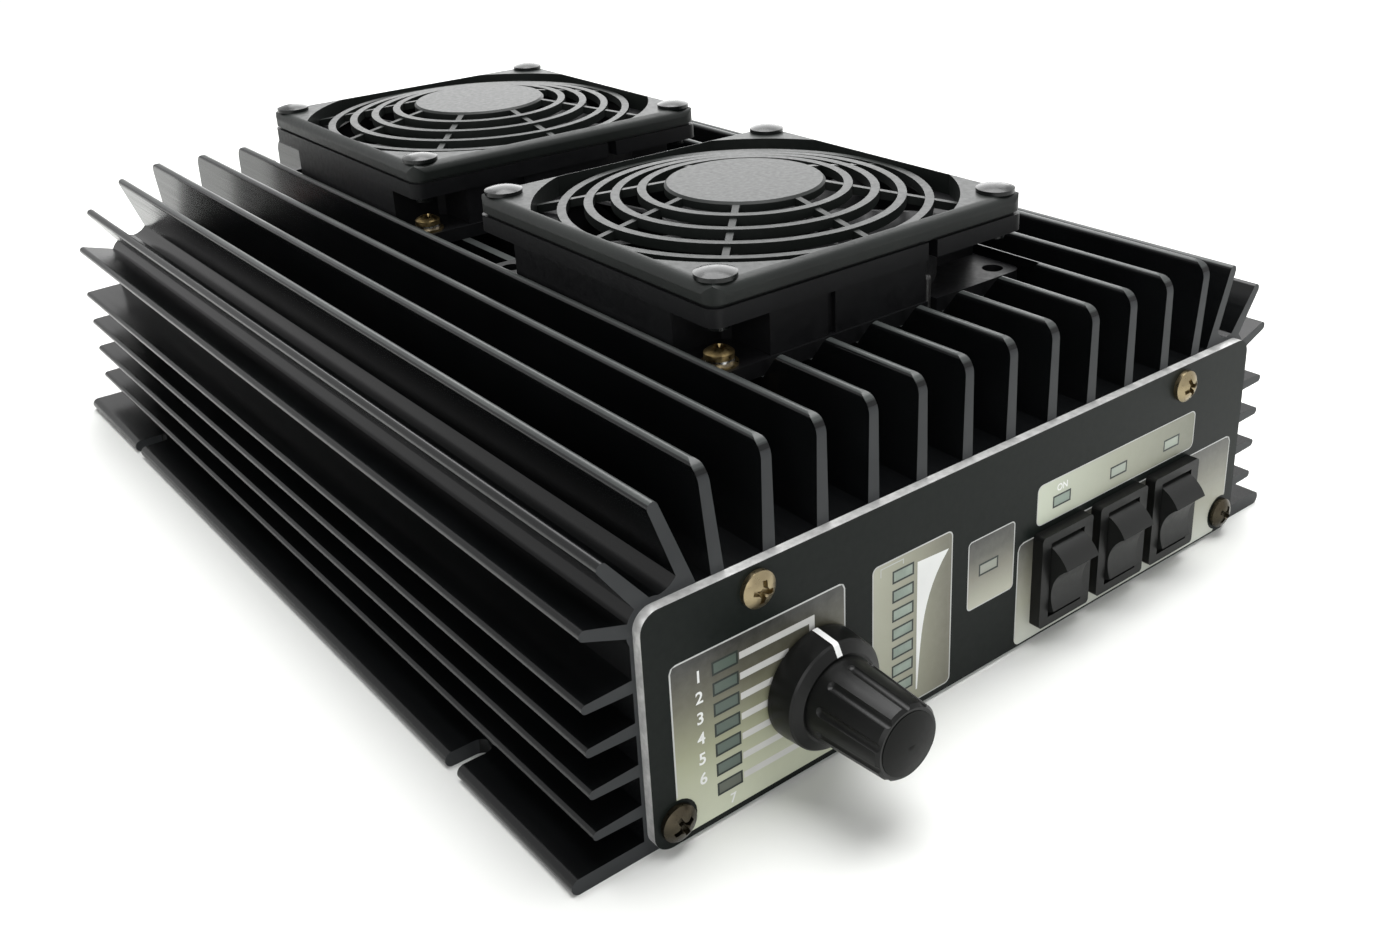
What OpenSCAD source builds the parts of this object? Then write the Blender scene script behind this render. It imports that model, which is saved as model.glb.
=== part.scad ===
// HF linear amplifier: a finned extrusion that carries two fans on top and all of the
// electronics inside. Front panel faces -Y, +Z is up, lengths are in millimetres.

/* [Heat sink extrusion] */
// Length of the extrusion, front end to rear end
body_len = 244; // [215:1:290]
// Width over the tips of the side fins
fin_span = 176.8; // [172:0.2:186]
// Width over the two mounting flanges
flange_span = 186; // [180:1:200]
// Thickness of the mounting flanges
flange_t = 3; // [2:0.5:4]
// Width of the box between the roots of the side fins
box_w = 158.4; // [156:0.2:164]
// Height of the box under the roots of the top fins
box_h = 45.6; // [43:0.1:52]
// Height over the tips of the top fins
fin_top = 65.2; // [60:0.1:76]
// Thickness of the side walls
side_wall = 3.2; // [2.5:0.1:4]
// Thickness of the top wall, which the transistors are bolted to
top_wall = 4; // [3:0.1:5]
// Distance from one top fin to the next
fin_pitch = 11.5; // [11.2:0.1:11.8]
// Thickness of a top fin
fin_t = 2.2; // [1.6:0.1:2.4]
// Radius on the front and rear ends of the top fins
fin_end_r = 3.5; // [1:0.5:6]
// Height of the lowest side fin
side_fin_z = 9.1; // [7:0.1:10]
// Distance from one side fin to the next
side_fin_pitch = 7.85; // [7:0.05:8.5]
// Thickness of a side fin at its root
side_fin_t = 2.4; // [1.8:0.1:3]

/* [Mounting notches] */
// Distance of each notch from its end of the extrusion
notch_from_end = 38.5; // [20:0.5:60]
// Width of a notch
notch_w = 4.3; // [3.2:0.1:5.5]
// Depth of a notch, from the edge of the flange
notch_depth = 8; // [5:0.5:9]

/* [Fans] */
// Side of a fan, which is also the side of its guard
fan_side = 80; // [79:0.1:80]
// Height of a fan between its two faces
fan_h = 15; // [15:1:25]
// Distance between the screw holes of a fan
fan_hole_pitch = 71.5; // [70:0.5:72]
// Radius of the air passage of a fan
fan_bore_r = 38; // [36:0.5:38.5]
// Radius of the rotor's hub
hub_r = 17.2; // [14:0.1:19]
// Number of blades
blade_n = 7; // [5:1:9]
// Depth that the top fins are cut down under the fans
fin_cut = 5.2; // [2:0.1:10]
// Distance between the middles of the two fans
fan_spacing = 108.8; // [84:0.2:112]
// Height of a guard over its fan
guard_h = 4.4; // [4:0.1:8]
// Number of rings in a guard
ring_n = 4; // [3:1:5]
// Width of a ring
ring_w = 1.8; // [1.2:0.1:2.2]
// Radius of the disc in the middle of a guard
disc_r = 16.5; // [12:0.5:19]
// Height of that disc over the guard's frame
disc_rise = 2.8; // [0:0.1:4]

/* [Front and rear panels] */
// Thickness of both panels
panel_t = 2; // [1.5:0.1:3]
// Width of both panels
panel_w = 157; // [152:0.5:160]
// Height of the lower edge of both panels
panel_z0 = 0.8; // [0.4:0.1:1.4]
// Radius of the corners of both panels
panel_r = 3.5; // [1:0.5:5]
// Distance between the two upper screws
top_screw_span = 112.4; // [100:0.2:120]
// Distance between the two lower screws
low_screw_span = 148; // [146:0.5:149]
// Head radius of a panel screw
screw_head_r = 3.3; // [2.8:0.1:3.6]

/* [Band knob] */
// Place of the knob across the panel
knob_x = -44.8; // [-48:0.1:-42]
// Height of the knob's axis
knob_z = 18.4; // [17:0.1:20]
// Radius of the knob's skirt
skirt_r = 10.4; // [9:0.1:12]
// Depth of the skirt, up to its shoulder
skirt_h = 5.3; // [3:0.1:7]
// Radius of the grip where it meets the skirt
grip_r = 7.6; // [6.6:0.1:8]
// Radius of the grip at its end
grip_end_r = 6.7; // [6.2:0.1:7.4]
// Height of the knob, skirt to end
knob_h = 21.8; // [18:0.1:26]
// Number of grooves in the grip
groove_n = 10; // [6:1:14]
// Radius of the selector's shaft
shaft_r = 3; // [2.5:0.25:3]

/* [Rocker switches] */
// Place of the first switch across the panel
switch_x = 18.6; // [16:0.1:20]
// Distance from one switch to the next
switch_pitch = 17.35; // [16.2:0.05:19]
// Height of the middle of the switches
switch_z = 14.2; // [13:0.1:15]
// Width of a switch's bezel
bezel_w = 14.9; // [14:0.1:16]
// Height of a switch's bezel
bezel_h = 20; // [19:0.1:21]
// How far a bezel stands out from the panel
bezel_t = 2.4; // [1.5:0.1:3]
// Radius of a rocker about its pivot
rocker_r = 7.7; // [7:0.1:7.8]
// Width of a rocker
rocker_w = 9.4; // [8.6:0.1:9.6]
// Angle that a rocker leans from the middle, either way
rocker_tilt = 15; // [8:1:18]

/* [Indicator lights] */
// Width of a light window
light_w = 5; // [4:0.1:5.4]
// Height of a light window
light_h = 2.3; // [1.8:0.1:2.6]
// Distance from one window to the next in a column
light_pitch = 3.9; // [3.2:0.05:4]
// Height of the top window of the two columns
light_top_z = 30.4; // [29:0.1:31]
// Place of the column of band lights across the panel
band_light_x = -63.1; // [-64:0.1:-61]
// Place of the column of output lights across the panel
output_light_x = -23.6; // [-25:0.1:-22]

/* [Rear sockets] */
// Radius over the thread of a coaxial socket
socket_r = 7.9; // [7:0.1:8]
// Length of a socket behind its flange
socket_len = 13.4; // [11:0.1:18]
// Side of a socket's square flange
socket_flange = 25.4; // [24:0.1:26]
// Place of the output socket across the panel
output_socket_x = 50; // [44:1:56]
// Place of the input socket across the panel
input_socket_x = 12; // [4:1:16]
// Height of the sockets
socket_z = 22; // [20:0.5:24]

/* [Supply lead] */
// Height of the flat two-core lead's section
lead_w = 8; // [7:0.5:8]
// Thickness of the lead's section
lead_t = 4; // [3.6:0.1:4]
// Number of turns in the stored coil
coil_turns = 4; // [3:1:5]
// Step from one turn of the coil to the next
coil_step = 4.6; // [4.6:0.1:5.2]

/* [Hidden] */
$fn = 48;

// Slack between a piece and the hole or seat that takes it
slack = 0.05;
// Gap between the knob's skirt and the panel
knob_gap = 0.6;
// Height of the dome on the knob's cap
cap_dome = 0.8;
socket_flange_t = 1.6;

// The model stands with the middle of its length at Y = 0
front_reach = panel_t + knob_gap + knob_h + cap_dome;
rear_reach = panel_t + socket_flange_t + socket_len;
mid_y = (body_len + rear_reach - front_reach) / 2;

// Places that several pieces share
box_x = box_w / 2;
in_x = box_x - side_wall;
in_top = box_h - top_wall;
cover_t = 1.6;
cover_z = 0.3;
ledge_z = cover_z + cover_t;
ledge_t = 2.4;
ledge_in = 10;
fan_y = [body_len / 2 - fan_spacing / 2, body_len / 2 + fan_spacing / 2];
fan_z = fin_top - fin_cut;
fan_top = fan_z + fan_h;
guard_top = fan_top + guard_h;
pocket_x = fan_side / 2 + 0.15;
run_out = 3.8;
pocket_y0 = fan_y[0] - fan_side / 2 - run_out - 0.5;
pocket_y1 = fan_y[1] + fan_side / 2 + run_out + 0.5;
hole_o = fan_hole_pitch / 2;
upper_screw = [top_screw_span / 2, in_top - 0.3];
lower_screw = [low_screw_span / 2, 5.4];
boss_r = 3.4;
screw_r = 1.6;
m3_r = 1.5;
head_h = 2.2;
fan_flange_t = 3.5;
wire_r = 1;
wire_x = 13.6;
wire_y = -fan_side / 2 + 1.8;
wire_z = fan_z + 7;
fan_foot_t = 3;
fan_wall = 54;
plate_t = 2.4;
bearing_r = 3;
spindle_r = 1.5;
board_t = 1.6;
board_z = 30.4;
board_x = 69;
board_y0 = 30;
board_y1 = body_len - 18;
front_board_y = 7;
switch_xs = [switch_x, switch_x + switch_pitch, switch_x + 2 * switch_pitch];
pivot_y = -1.5;
pivot_r = 1.2;
light_xs = [for (i = [0:6]) light_top_z - i * light_pitch];
status_spots = [[-1.4, 22.7], [switch_xs[0] + 0.4, 29.2], [switch_xs[1] + 0.4, 29.2],
    [switch_xs[2] + 0.4, 29.2]];
grommet_x = -50;
grommet_z = 24;
grommet_len = 14;
notch_ys = [notch_from_end, body_len - notch_from_end];
pillar_spots = [for (sx = [-64.4, 64.4], py = [board_y0 + 8, body_len / 2, board_y1 - 8]) [sx, py]];
power_ys = [body_len / 2 - 30, body_len / 2 + 30];
power_spots = [for (sx = [-15, 15], py = power_ys) [sx, py]];
cover_spots = [for (sx = [-1, 1], py = [14, body_len / 2, body_len - 14])
    [sx * (in_x - ledge_in + 2.8), py]];

// Puts a piece that is drawn from the front end of the extrusion into the model's frame
module placed() {
    translate([0, -mid_y, 0])
        children();
}

// Draws its children once on each side of the middle
module both_sides() {
    children();
    mirror([1, 0, 0])
        children();
}

// Extrudes a drawing of the front view backwards from y0
module front_view(y0, depth) {
    translate([0, y0 + depth, 0])
        rotate([90, 0, 0])
            linear_extrude(depth)
                children();
}

// A cylinder along Y that starts at y0
module rod_y(x, z, y0, len, r, fn = 32) {
    translate([x, y0, z])
        rotate([-90, 0, 0])
            cylinder(r = r, h = len, $fn = fn);
}

// A rectangle with round corners, drawn about its middle
module round_rect(w, h, r) {
    union() {
        square([w - 2 * r, h], center = true);
        square([w, h - 2 * r], center = true);
        for (sx = [-1, 1], sy = [-1, 1])
            translate([sx * (w / 2 - r), sy * (h / 2 - r)])
                circle(r = r, $fn = 32);
    }
}

// One fin of the extrusion: a tapered blade with a round tip, from a root point
module fin(x, z, angle, len, t_root, t_tip) {
    translate([x, z])
        rotate(angle) {
            polygon([[-1.2, -t_root / 2], [len - t_tip / 2, -t_tip / 2],
                [len - t_tip / 2, t_tip / 2], [-1.2, t_root / 2]]);
            translate([len - t_tip / 2, 0])
                circle(r = t_tip / 2, $fn = 20);
        }
}

// The right half of the extrusion's outline, seen from the front
module half_profile() {
    // side wall, half of the top wall and the round corner between them
    translate([in_x, 0])
        square([side_wall, box_h - 4.5]);
    translate([0, in_top])
        square([box_x - 4.5, top_wall]);
    translate([box_x - 4.2, box_h - 3.6])
        circle(r = 4.7);
    // flange, and the ledge that the bottom cover lies against
    translate([box_x - 1, 0])
        square([flange_span / 2 - box_x + 1 - flange_t / 2, flange_t]);
    translate([flange_span / 2 - flange_t / 2, flange_t / 2])
        circle(r = flange_t / 2, $fn = 24);
    translate([in_x - ledge_in, ledge_z])
        square([ledge_in + 0.5, ledge_t]);
    // screw channels for the two panels
    translate(upper_screw)
        circle(r = boss_r);
    translate(lower_screw)
        circle(r = boss_r);
    // four level side fins
    for (i = [0:3])
        fin(box_x, side_fin_z + i * side_fin_pitch, 0, fin_span / 2 - box_x, side_fin_t, 1.7);
    // three leaning fins round the corner
    fin(box_x - 0.6, box_h - 3.3, 19, fin_span / 2 - box_x + 0.4, 2.6, 1.9);
    fin(box_x - 2.6, box_h + 0.8, 53, 11.4, 2.8, 2);
    fin(box_x - 11.6, box_h - 0.4, 70, 18, 2.6, 2);
    // the rounded valley between the two steeper ones
    difference() {
        polygon([[box_x - 12, box_h - 1], [box_x - 2, box_h - 1], [box_x + 0.4, box_h + 5],
            [box_x - 9.5, box_h + 6]]);
        translate([box_x - 5.3, box_h + 5.7])
            circle(r = 4.9);
    }
    // six of the twelve top fins; the outermost one leans out a little
    for (i = [0:4])
        fin((i + 0.5) * fin_pitch, box_h, 90, fin_top - box_h, fin_t + 0.4, fin_t - 0.2);
    fin(5.5 * fin_pitch - 1.1, box_h, 84, (fin_top - box_h) * 1.005, fin_t + 0.4, fin_t - 0.2);
}

// A cutter, as wide as the top, that rounds one end of the top fins
module fin_end_cutter() {
    difference() {
        translate([-box_x + 14, -1, fin_top - fin_end_r])
            cube([box_w - 28, fin_end_r + 1, fin_end_r + 2]);
        translate([-box_x, fin_end_r, fin_top - fin_end_r])
            rotate([0, 90, 0])
                cylinder(r = fin_end_r, h = box_w);
    }
}

// The pocket that seats both fans, with a sloping run-out at each end
module fan_pocket() {
    translate([-pocket_x, pocket_y0 + run_out, fan_z])
        cube([2 * pocket_x, pocket_y1 - pocket_y0 - 2 * run_out, fin_cut + 5]);
    for (e = [[pocket_y0, 1], [pocket_y1, -1]])
        translate([-pocket_x, e[0], 0])
            end_for_end(e[1])
                rotate([90, 0, 90])
                    linear_extrude(2 * pocket_x)
                        polygon([[0, fin_top], [run_out, fan_z], [run_out + 1, fan_z],
                            [run_out + 1, fin_top + 2], [0, fin_top + 2]]);
}

// Turns a shape end for end along Y when s is -1
module end_for_end(s) {
    if (s > 0) {
        children();
    } else {
        mirror([0, 1, 0])
            children();
    }
}

module heat_sink() {
    color([0.11, 0.12, 0.12])
        placed()
            difference() {
                front_view(0, body_len)
                    both_sides()
                        half_profile();
                fin_end_cutter();
                translate([0, body_len, 0])
                    mirror([0, 1, 0])
                        fin_end_cutter();
                fan_pocket();
                // mounting notches, open to the edge of the flanges
                for (sx = [-1, 1], ny = notch_ys) {
                    translate([sx * (flange_span / 2 - notch_depth + notch_w / 2), ny, -1])
                        cylinder(r = notch_w / 2, h = flange_t + 2);
                    translate([sx * (flange_span / 2 - notch_depth / 2 + notch_w / 4 + 1), ny, 0.5])
                        cube([notch_depth - notch_w / 2 + 2, notch_w, flange_t + 2], center = true);
                }
                // tapped holes for the panels
                for (sx = [-1, 1], s = [upper_screw, lower_screw], e = [-1, body_len - 11])
                    rod_y(sx * s[0], s[1], e, 12, screw_r + slack, 24);
                // tapped holes for the fans, the pillars, the transistors and the cover
                for (f = fan_y, s = [-1, 1])
                    translate([s * hole_o, f + s * hole_o, in_top - 1])
                        cylinder(r = m3_r + slack, h = top_wall + 2, $fn = 24);
                for (p = pillar_spots)
                    translate([p[0], p[1], in_top - 1])
                        cylinder(r = m3_r + slack, h = 4, $fn = 24);
                for (p = power_spots)
                    translate([p[0], p[1], in_top - 1])
                        cylinder(r = m3_r + slack, h = 4, $fn = 24);
                for (p = cover_spots)
                    translate([p[0], p[1], ledge_z - 1])
                        cylinder(r = m3_r + slack, h = ledge_t + 2, $fn = 24);
                // a hole under each fan for its wires
                for (f = fan_y)
                    translate([wire_x, f + wire_y, in_top - 1])
                        cylinder(r = wire_r + slack, h = top_wall + 2, $fn = 24);
            }
}

module bottom_cover() {
    color([0.62, 0.63, 0.65])
        placed()
            difference() {
                translate([-in_x + 0.2, 0.2, cover_z])
                    cube([2 * in_x - 0.4, body_len - 0.4, cover_t]);
                for (p = cover_spots) {
                    translate([p[0], p[1], -1])
                        cylinder(r = m3_r + 0.15, h = 4, $fn = 24);
                    translate([p[0], p[1], cover_z - 0.01])
                        cylinder(r1 = 3.05, r2 = m3_r + 0.15, h = 1.4, $fn = 24);
                }
            }
}

module cover_screws() {
    color([0.7, 0.7, 0.68])
        placed()
            for (p = cover_spots)
                translate([p[0], p[1], cover_z])
                    difference() {
                        rotate_extrude($fn = 24)
                            polygon([[0, 0], [2.95, 0], [m3_r, 1.35], [m3_r, 4.6], [0, 4.6]]);
                        for (a = [0, 90])
                            rotate(a)
                                translate([0, 0, 0.3])
                                    cube([3.6, 0.6, 0.8], center = true);
                    }
}

// The outline that both panels share, without their cut-outs
module panel_blank(y0) {
    front_view(y0, panel_t)
        translate([0, (panel_z0 + box_h) / 2])
            round_rect(panel_w, box_h - panel_z0, panel_r);
}

// Holes for the four screws of a panel
module panel_screw_holes(y0) {
    for (sx = [-1, 1], s = [upper_screw, lower_screw])
        rod_y(sx * s[0], s[1], y0 - 1, panel_t + 2, screw_r + 0.15, 24);
}

// A pan head screw: the head stands on z = 0 and the shank goes down from there
module pan_screw(len, r, head_r) {
    dome = head_r * 1.45;
    translate([0, 0, -len])
        cylinder(r = r, h = len, $fn = 24);
    difference() {
        rotate_extrude($fn = 40)
            intersection() {
                square([head_r, head_h]);
                translate([0, head_h - dome])
                    circle(r = dome, $fn = 64);
            }
        for (a = [0, 90])
            rotate(a)
                translate([0, 0, head_h])
                    cube([head_r * 1.2, 0.95, 2.4], center = true);
        translate([0, 0, head_h - 1.7])
            cylinder(r1 = 0.3, r2 = 1.1, h = 1.8, $fn = 24);
    }
}

module front_panel() {
    color([0.17, 0.18, 0.18])
        placed()
            difference() {
                panel_blank(-panel_t);
                panel_screw_holes(-panel_t);
                rod_y(knob_x, knob_z, -panel_t - 1, panel_t + 2, 3.6 + slack, 32);
                for (x = switch_xs)
                    translate([x, -panel_t / 2, switch_z])
                        cube([bezel_w - 1.8, panel_t + 2, bezel_h - 2.2], center = true);
                for (z = light_xs, x = [band_light_x, output_light_x])
                    light_hole([x, z]);
                for (s = status_spots)
                    light_hole(s);
            }
}

// The cut-out of one light window
module light_hole(spot) {
    translate([spot[0], -panel_t / 2, spot[1]])
        cube([light_w + 2 * slack, panel_t + 2, light_h + 2 * slack], center = true);
}

module front_panel_screws() {
    color([0.62, 0.54, 0.38])
        placed()
            for (sx = [-1, 1], s = [upper_screw, lower_screw])
                translate([sx * s[0], -panel_t, s[1]])
                    rotate([90, 30 * sx + s[1], 0])
                        pan_screw(11, screw_r, screw_head_r);
}

module rear_panel() {
    y0 = body_len;
    color([0.17, 0.18, 0.18])
        placed()
            difference() {
                panel_blank(y0);
                panel_screw_holes(y0);
                for (x = [input_socket_x, output_socket_x]) {
                    rod_y(x, socket_z, y0 - 1, panel_t + 2, 6.6, 40);
                    for (sx = [-1, 1], sz = [-1, 1])
                        rod_y(x + sx * 9.1, socket_z + sz * 9.1, y0 - 1, panel_t + 2, m3_r + slack, 24);
                }
                rod_y(grommet_x, grommet_z, y0 - 1, panel_t + 2, 6.5 + slack, 40);
            }
}

module rear_panel_screws() {
    color([0.62, 0.54, 0.38])
        placed()
            for (sx = [-1, 1], s = [upper_screw, lower_screw])
                translate([sx * s[0], body_len + panel_t, s[1]])
                    rotate([-90, 20 * sx + s[1], 0])
                        pan_screw(11, screw_r, screw_head_r);
}

// Skirt, shoulder and grooved grip, drawn along -Y from the underside of the skirt
module band_knob() {
    grip_y = skirt_h + 0.9;
    color([0.06, 0.06, 0.06])
        placed()
            translate([knob_x, -panel_t - knob_gap, knob_z])
                rotate([90, 0, 0])
                    difference() {
                        union() {
                            rotate_extrude($fn = 64)
                                polygon([[0, 0], [skirt_r, 0], [skirt_r, 0.8],
                                    [skirt_r - 0.3, skirt_h - 0.4], [skirt_r - 0.6, skirt_h],
                                    [grip_r + 0.5, grip_y], [0, grip_y]]);
                            translate([0, 0, grip_y - 0.1])
                                cylinder(r1 = grip_r, r2 = grip_end_r, h = knob_h - grip_y - 0.5,
                                    $fn = 64);
                            translate([0, 0, knob_h - 0.6])
                                cylinder(r1 = grip_end_r, r2 = grip_end_r - 0.5, h = 0.6, $fn = 64);
                        }
                        for (i = [0:groove_n - 1])
                            rotate((i + 0.5) * 360 / groove_n)
                                grip_groove();
                        // room for the nut, the shaft's bore and the seat of the cap
                        translate([0, 0, -1])
                            cylinder(r = 6.6, h = 4.2, $fn = 40);
                        cylinder(r = shaft_r + 0.02, h = knob_h - 3, $fn = 40);
                        translate([0, 0, knob_h - 1.2])
                            cylinder(r = grip_end_r - 1, h = 2, $fn = 48);
                    }
}

// One groove, round ended, that follows the taper of the grip
module grip_groove() {
    lean = atan((grip_r - grip_end_r) / (knob_h - skirt_h - 1.4));
    groove_r = 1.1;
    translate([grip_r + groove_r - 0.6, 0, skirt_h + 3.8])
        rotate([0, -lean, 0]) {
            cylinder(r = groove_r, h = knob_h, $fn = 32);
            sphere(r = groove_r, $fn = 32);
        }
}

module knob_cap() {
    cap_r = grip_end_r - 1 - 0.02;
    dome = 24;
    color([0.2, 0.2, 0.2])
        placed()
            translate([knob_x, -panel_t - knob_gap - knob_h + 1.2, knob_z])
                rotate([90, 0, 0])
                    rotate_extrude($fn = 64)
                        intersection() {
                            square([cap_r, 1.2 + cap_dome]);
                            translate([0, 1.2 + cap_dome - dome])
                                circle(r = dome, $fn = 160);
                        }
}

module selector_shaft() {
    color([0.75, 0.75, 0.74])
        placed()
            rod_y(knob_x, knob_z, -panel_t - knob_gap - knob_h + 3.4, knob_h + 12, shaft_r, 40);
}

module selector_switch() {
    color([0.3, 0.36, 0.42])
        placed()
            difference() {
                union() {
                    rod_y(knob_x, knob_z, front_board_y + board_t + 0.6, 11, 11.5, 48);
                    rod_y(knob_x, knob_z, -panel_t - 2.9, panel_t + front_board_y + 6, 3.6, 40);
                    rod_y(knob_x, knob_z, slack, front_board_y - 0.4, 5.2, 40);
                }
                rod_y(knob_x, knob_z, -6, 19, shaft_r + slack, 40);
            }
}

module selector_nut() {
    color([0.72, 0.72, 0.7])
        placed()
            difference() {
                rod_y(knob_x, knob_z, -panel_t - 2, 2, 6, 6);
                rod_y(knob_x, knob_z, -panel_t - 3, 4, 3.6 + slack, 40);
            }
}

// The fixed part of a rocker switch: bezel, body, blades and the rocker's cavity
module switch_housing(x) {
    color([0.09, 0.09, 0.09])
        placed()
            translate([x, 0, switch_z])
                difference() {
                    union() {
                        front_view(-panel_t - bezel_t, bezel_t)
                            round_rect(bezel_w, bezel_h, 0.8);
                        translate([-bezel_w / 2 + 1, -panel_t, -bezel_h / 2 + 1.2])
                            cube([bezel_w - 2, 15, bezel_h - 2.4]);
                        for (bz = [-5, 0, 5])
                            translate([-2.4, 14.9 - panel_t, bz - 0.4])
                                cube([4.8, 7, 0.8]);
                    }
                    translate([-rocker_w / 2 - 0.25, pivot_y, 0])
                        rotate([0, 90, 0])
                            cylinder(r = rocker_r + 0.25, h = rocker_w + 0.5, $fn = 64);
                    // the mouth is a little taller than the rocker
                    translate([0, -panel_t - bezel_t, 0])
                        cube([rocker_w + 0.5, 3.4, 2 * rocker_r + 1], center = true);
                    translate([-bezel_w / 2 + 1.4, pivot_y, 0])
                        rotate([0, 90, 0])
                            cylinder(r = pivot_r + slack, h = bezel_w - 2.8, $fn = 32);
                }
}

// A rocker: two noses on a circle about the pivot, with a hollow front between them
module rocker(x) {
    nose = 43;
    hollow_r = 7.9;
    reach = rocker_r * cos(nose);
    color([0.13, 0.13, 0.13])
        placed()
            translate([x, pivot_y, switch_z])
                rotate([rocker_tilt, 0, 0]) {
                    rotate([90, 0, 90])
                        translate([0, 0, -rocker_w / 2])
                            linear_extrude(rocker_w)
                                difference() {
                                    intersection() {
                                        circle(r = rocker_r, $fn = 96);
                                        translate([-20, -20])
                                            square([22.5, 40]);
                                    }
                                    translate([-reach - sqrt(pow(hollow_r, 2)
                                        - pow(rocker_r * sin(nose), 2)), 0])
                                        circle(r = hollow_r, $fn = 96);
                                }
                    rotate([0, 90, 0])
                        cylinder(r = pivot_r, h = bezel_w - 3.2, center = true, $fn = 32);
                }
}

// A rectangular light that fills its window and stands on the front board
module light_body(spot) {
    translate([spot[0] - light_w / 2, -panel_t, spot[1] - light_h / 2])
        cube([light_w, panel_t + front_board_y, light_h]);
}

module band_lights() {
    color([0.62, 0.68, 0.62])
        placed()
            for (z = light_xs)
                light_body([band_light_x, z]);
}

module output_lights() {
    color([0.62, 0.68, 0.62])
        placed()
            for (z = light_xs)
                light_body([output_light_x, z]);
}

module status_lights() {
    color([0.62, 0.68, 0.62])
        placed()
            for (s = status_spots)
                light_body(s);
}

// The board behind the front panel, cut away round the three switches
module front_board() {
    color([0.1, 0.32, 0.16])
        placed()
            difference() {
                front_view(front_board_y, board_t)
                    polygon([[-69, 4.6], [4.5, 4.6], [4.5, 25.5], [66, 25.5], [66, 36], [-69, 36]]);
                rod_y(knob_x, knob_z, front_board_y - 1, 4, 4.2, 40);
            }
}

module main_board() {
    color([0.1, 0.32, 0.16])
        placed()
            difference() {
                translate([-board_x, board_y0, board_z])
                    cube([2 * board_x, board_y1 - board_y0, board_t]);
                for (p = power_spots)
                    translate([p[0], p[1], board_z])
                        cube([20, 26, 5], center = true);
                for (p = pillar_spots)
                    translate([p[0], p[1], board_z - 1])
                        cylinder(r = m3_r + 0.1, h = 4, $fn = 24);
            }
}

module board_pillars() {
    color([0.75, 0.68, 0.45])
        placed()
            for (p = pillar_spots)
                translate([p[0], p[1], board_z + board_t])
                    difference() {
                        cylinder(r = 3.2, h = in_top - board_z - board_t, $fn = 6);
                        translate([0, 0, -1])
                            cylinder(r = m3_r + slack, h = 20, $fn = 24);
                    }
}

module board_screws() {
    color([0.72, 0.72, 0.7])
        placed()
            for (p = pillar_spots)
                translate([p[0], p[1], board_z])
                    rotate([180, 0, 0])
                        pan_screw(in_top - board_z + 1.8, m3_r, 2.8);
}

// The flat cable from the front board to the main board
module ribbon_cable() {
    top_z = board_z + board_t;
    color([0.6, 0.6, 0.62])
        placed() {
            translate([-12, front_board_y + board_t, top_z])
                cube([24, board_y0 - front_board_y + 4, 0.8]);
            translate([-13, board_y0 + 1, top_z + 0.8])
                cube([26, 5, 3]);
        }
}

// Four flat transistors bolted to the top wall, their legs on the board
module power_transistors() {
    body_z = in_top - 4.6;
    color([0.08, 0.08, 0.08])
        placed()
            for (p = power_spots) {
                s = p[0] > 0 ? 1 : -1;
                difference() {
                    translate([p[0] - 8, p[1] - 10.5, body_z])
                        cube([16, 21, 4.6]);
                    translate([p[0], p[1], body_z - 1])
                        cylinder(r = m3_r + 0.1, h = 7, $fn = 24);
                }
                for (k = [-1, 0, 1]) {
                    translate([p[0] + k * 5.4 - 0.7, p[1] + 10.4, body_z + 2])
                        cube([1.4, 4, 0.6]);
                    translate([p[0] + k * 5.4 - 0.7, p[1] + 13.8, board_z + board_t])
                        cube([1.4, 0.6, body_z + 2.6 - board_z - board_t]);
                }
            }
}

module transistor_screws() {
    color([0.72, 0.72, 0.7])
        placed()
            for (p = power_spots)
                translate([p[0], p[1], in_top - 4.6])
                    rotate([180, 0, 0])
                        pan_screw(6.6, m3_r, 2.8);
}

// Two ferrite transformers, each a block with a pair of bores, under the board
module transformers() {
    color([0.2, 0.2, 0.21])
        placed()
            for (t = [[body_len / 2 - 62, 20, 11], [body_len / 2, 32, 15]])
                difference() {
                    translate([-t[1] / 2, t[0] - 14, board_z - t[2]])
                        cube([t[1], 28, t[2]]);
                    for (sx = [-1, 1])
                        rod_y(sx * t[1] / 4, board_z - t[2] / 2, t[0] - 15, 30, t[2] * 0.26, 32);
                }
}

// Coils of the output filters: wound rings that lie against the board
module filter_coils() {
    color([0.55, 0.3, 0.12])
        placed()
            for (sx = [-1, 1], i = [0:5])
                translate([sx * 46, 56 + i * (body_len - 98) / 6.4, board_z - 7])
                    rotate_extrude($fn = 40)
                        translate([5, 0])
                            square([5.5, 7]);
}

module relays() {
    color([0.2, 0.4, 0.62])
        placed()
            for (sx = [-1, 1], i = [0:5])
                translate([sx * 29 - 4, 46 + i * (body_len - 98) / 6.4, board_z - 10])
                    cube([8, 20, 10]);
}

module capacitors() {
    color([0.14, 0.16, 0.3])
        placed()
            for (cx = [-8, 8])
                translate([cx, body_len - 40, board_z - 15])
                    cylinder(r = 6.3, h = 15, $fn = 40);
}

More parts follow.
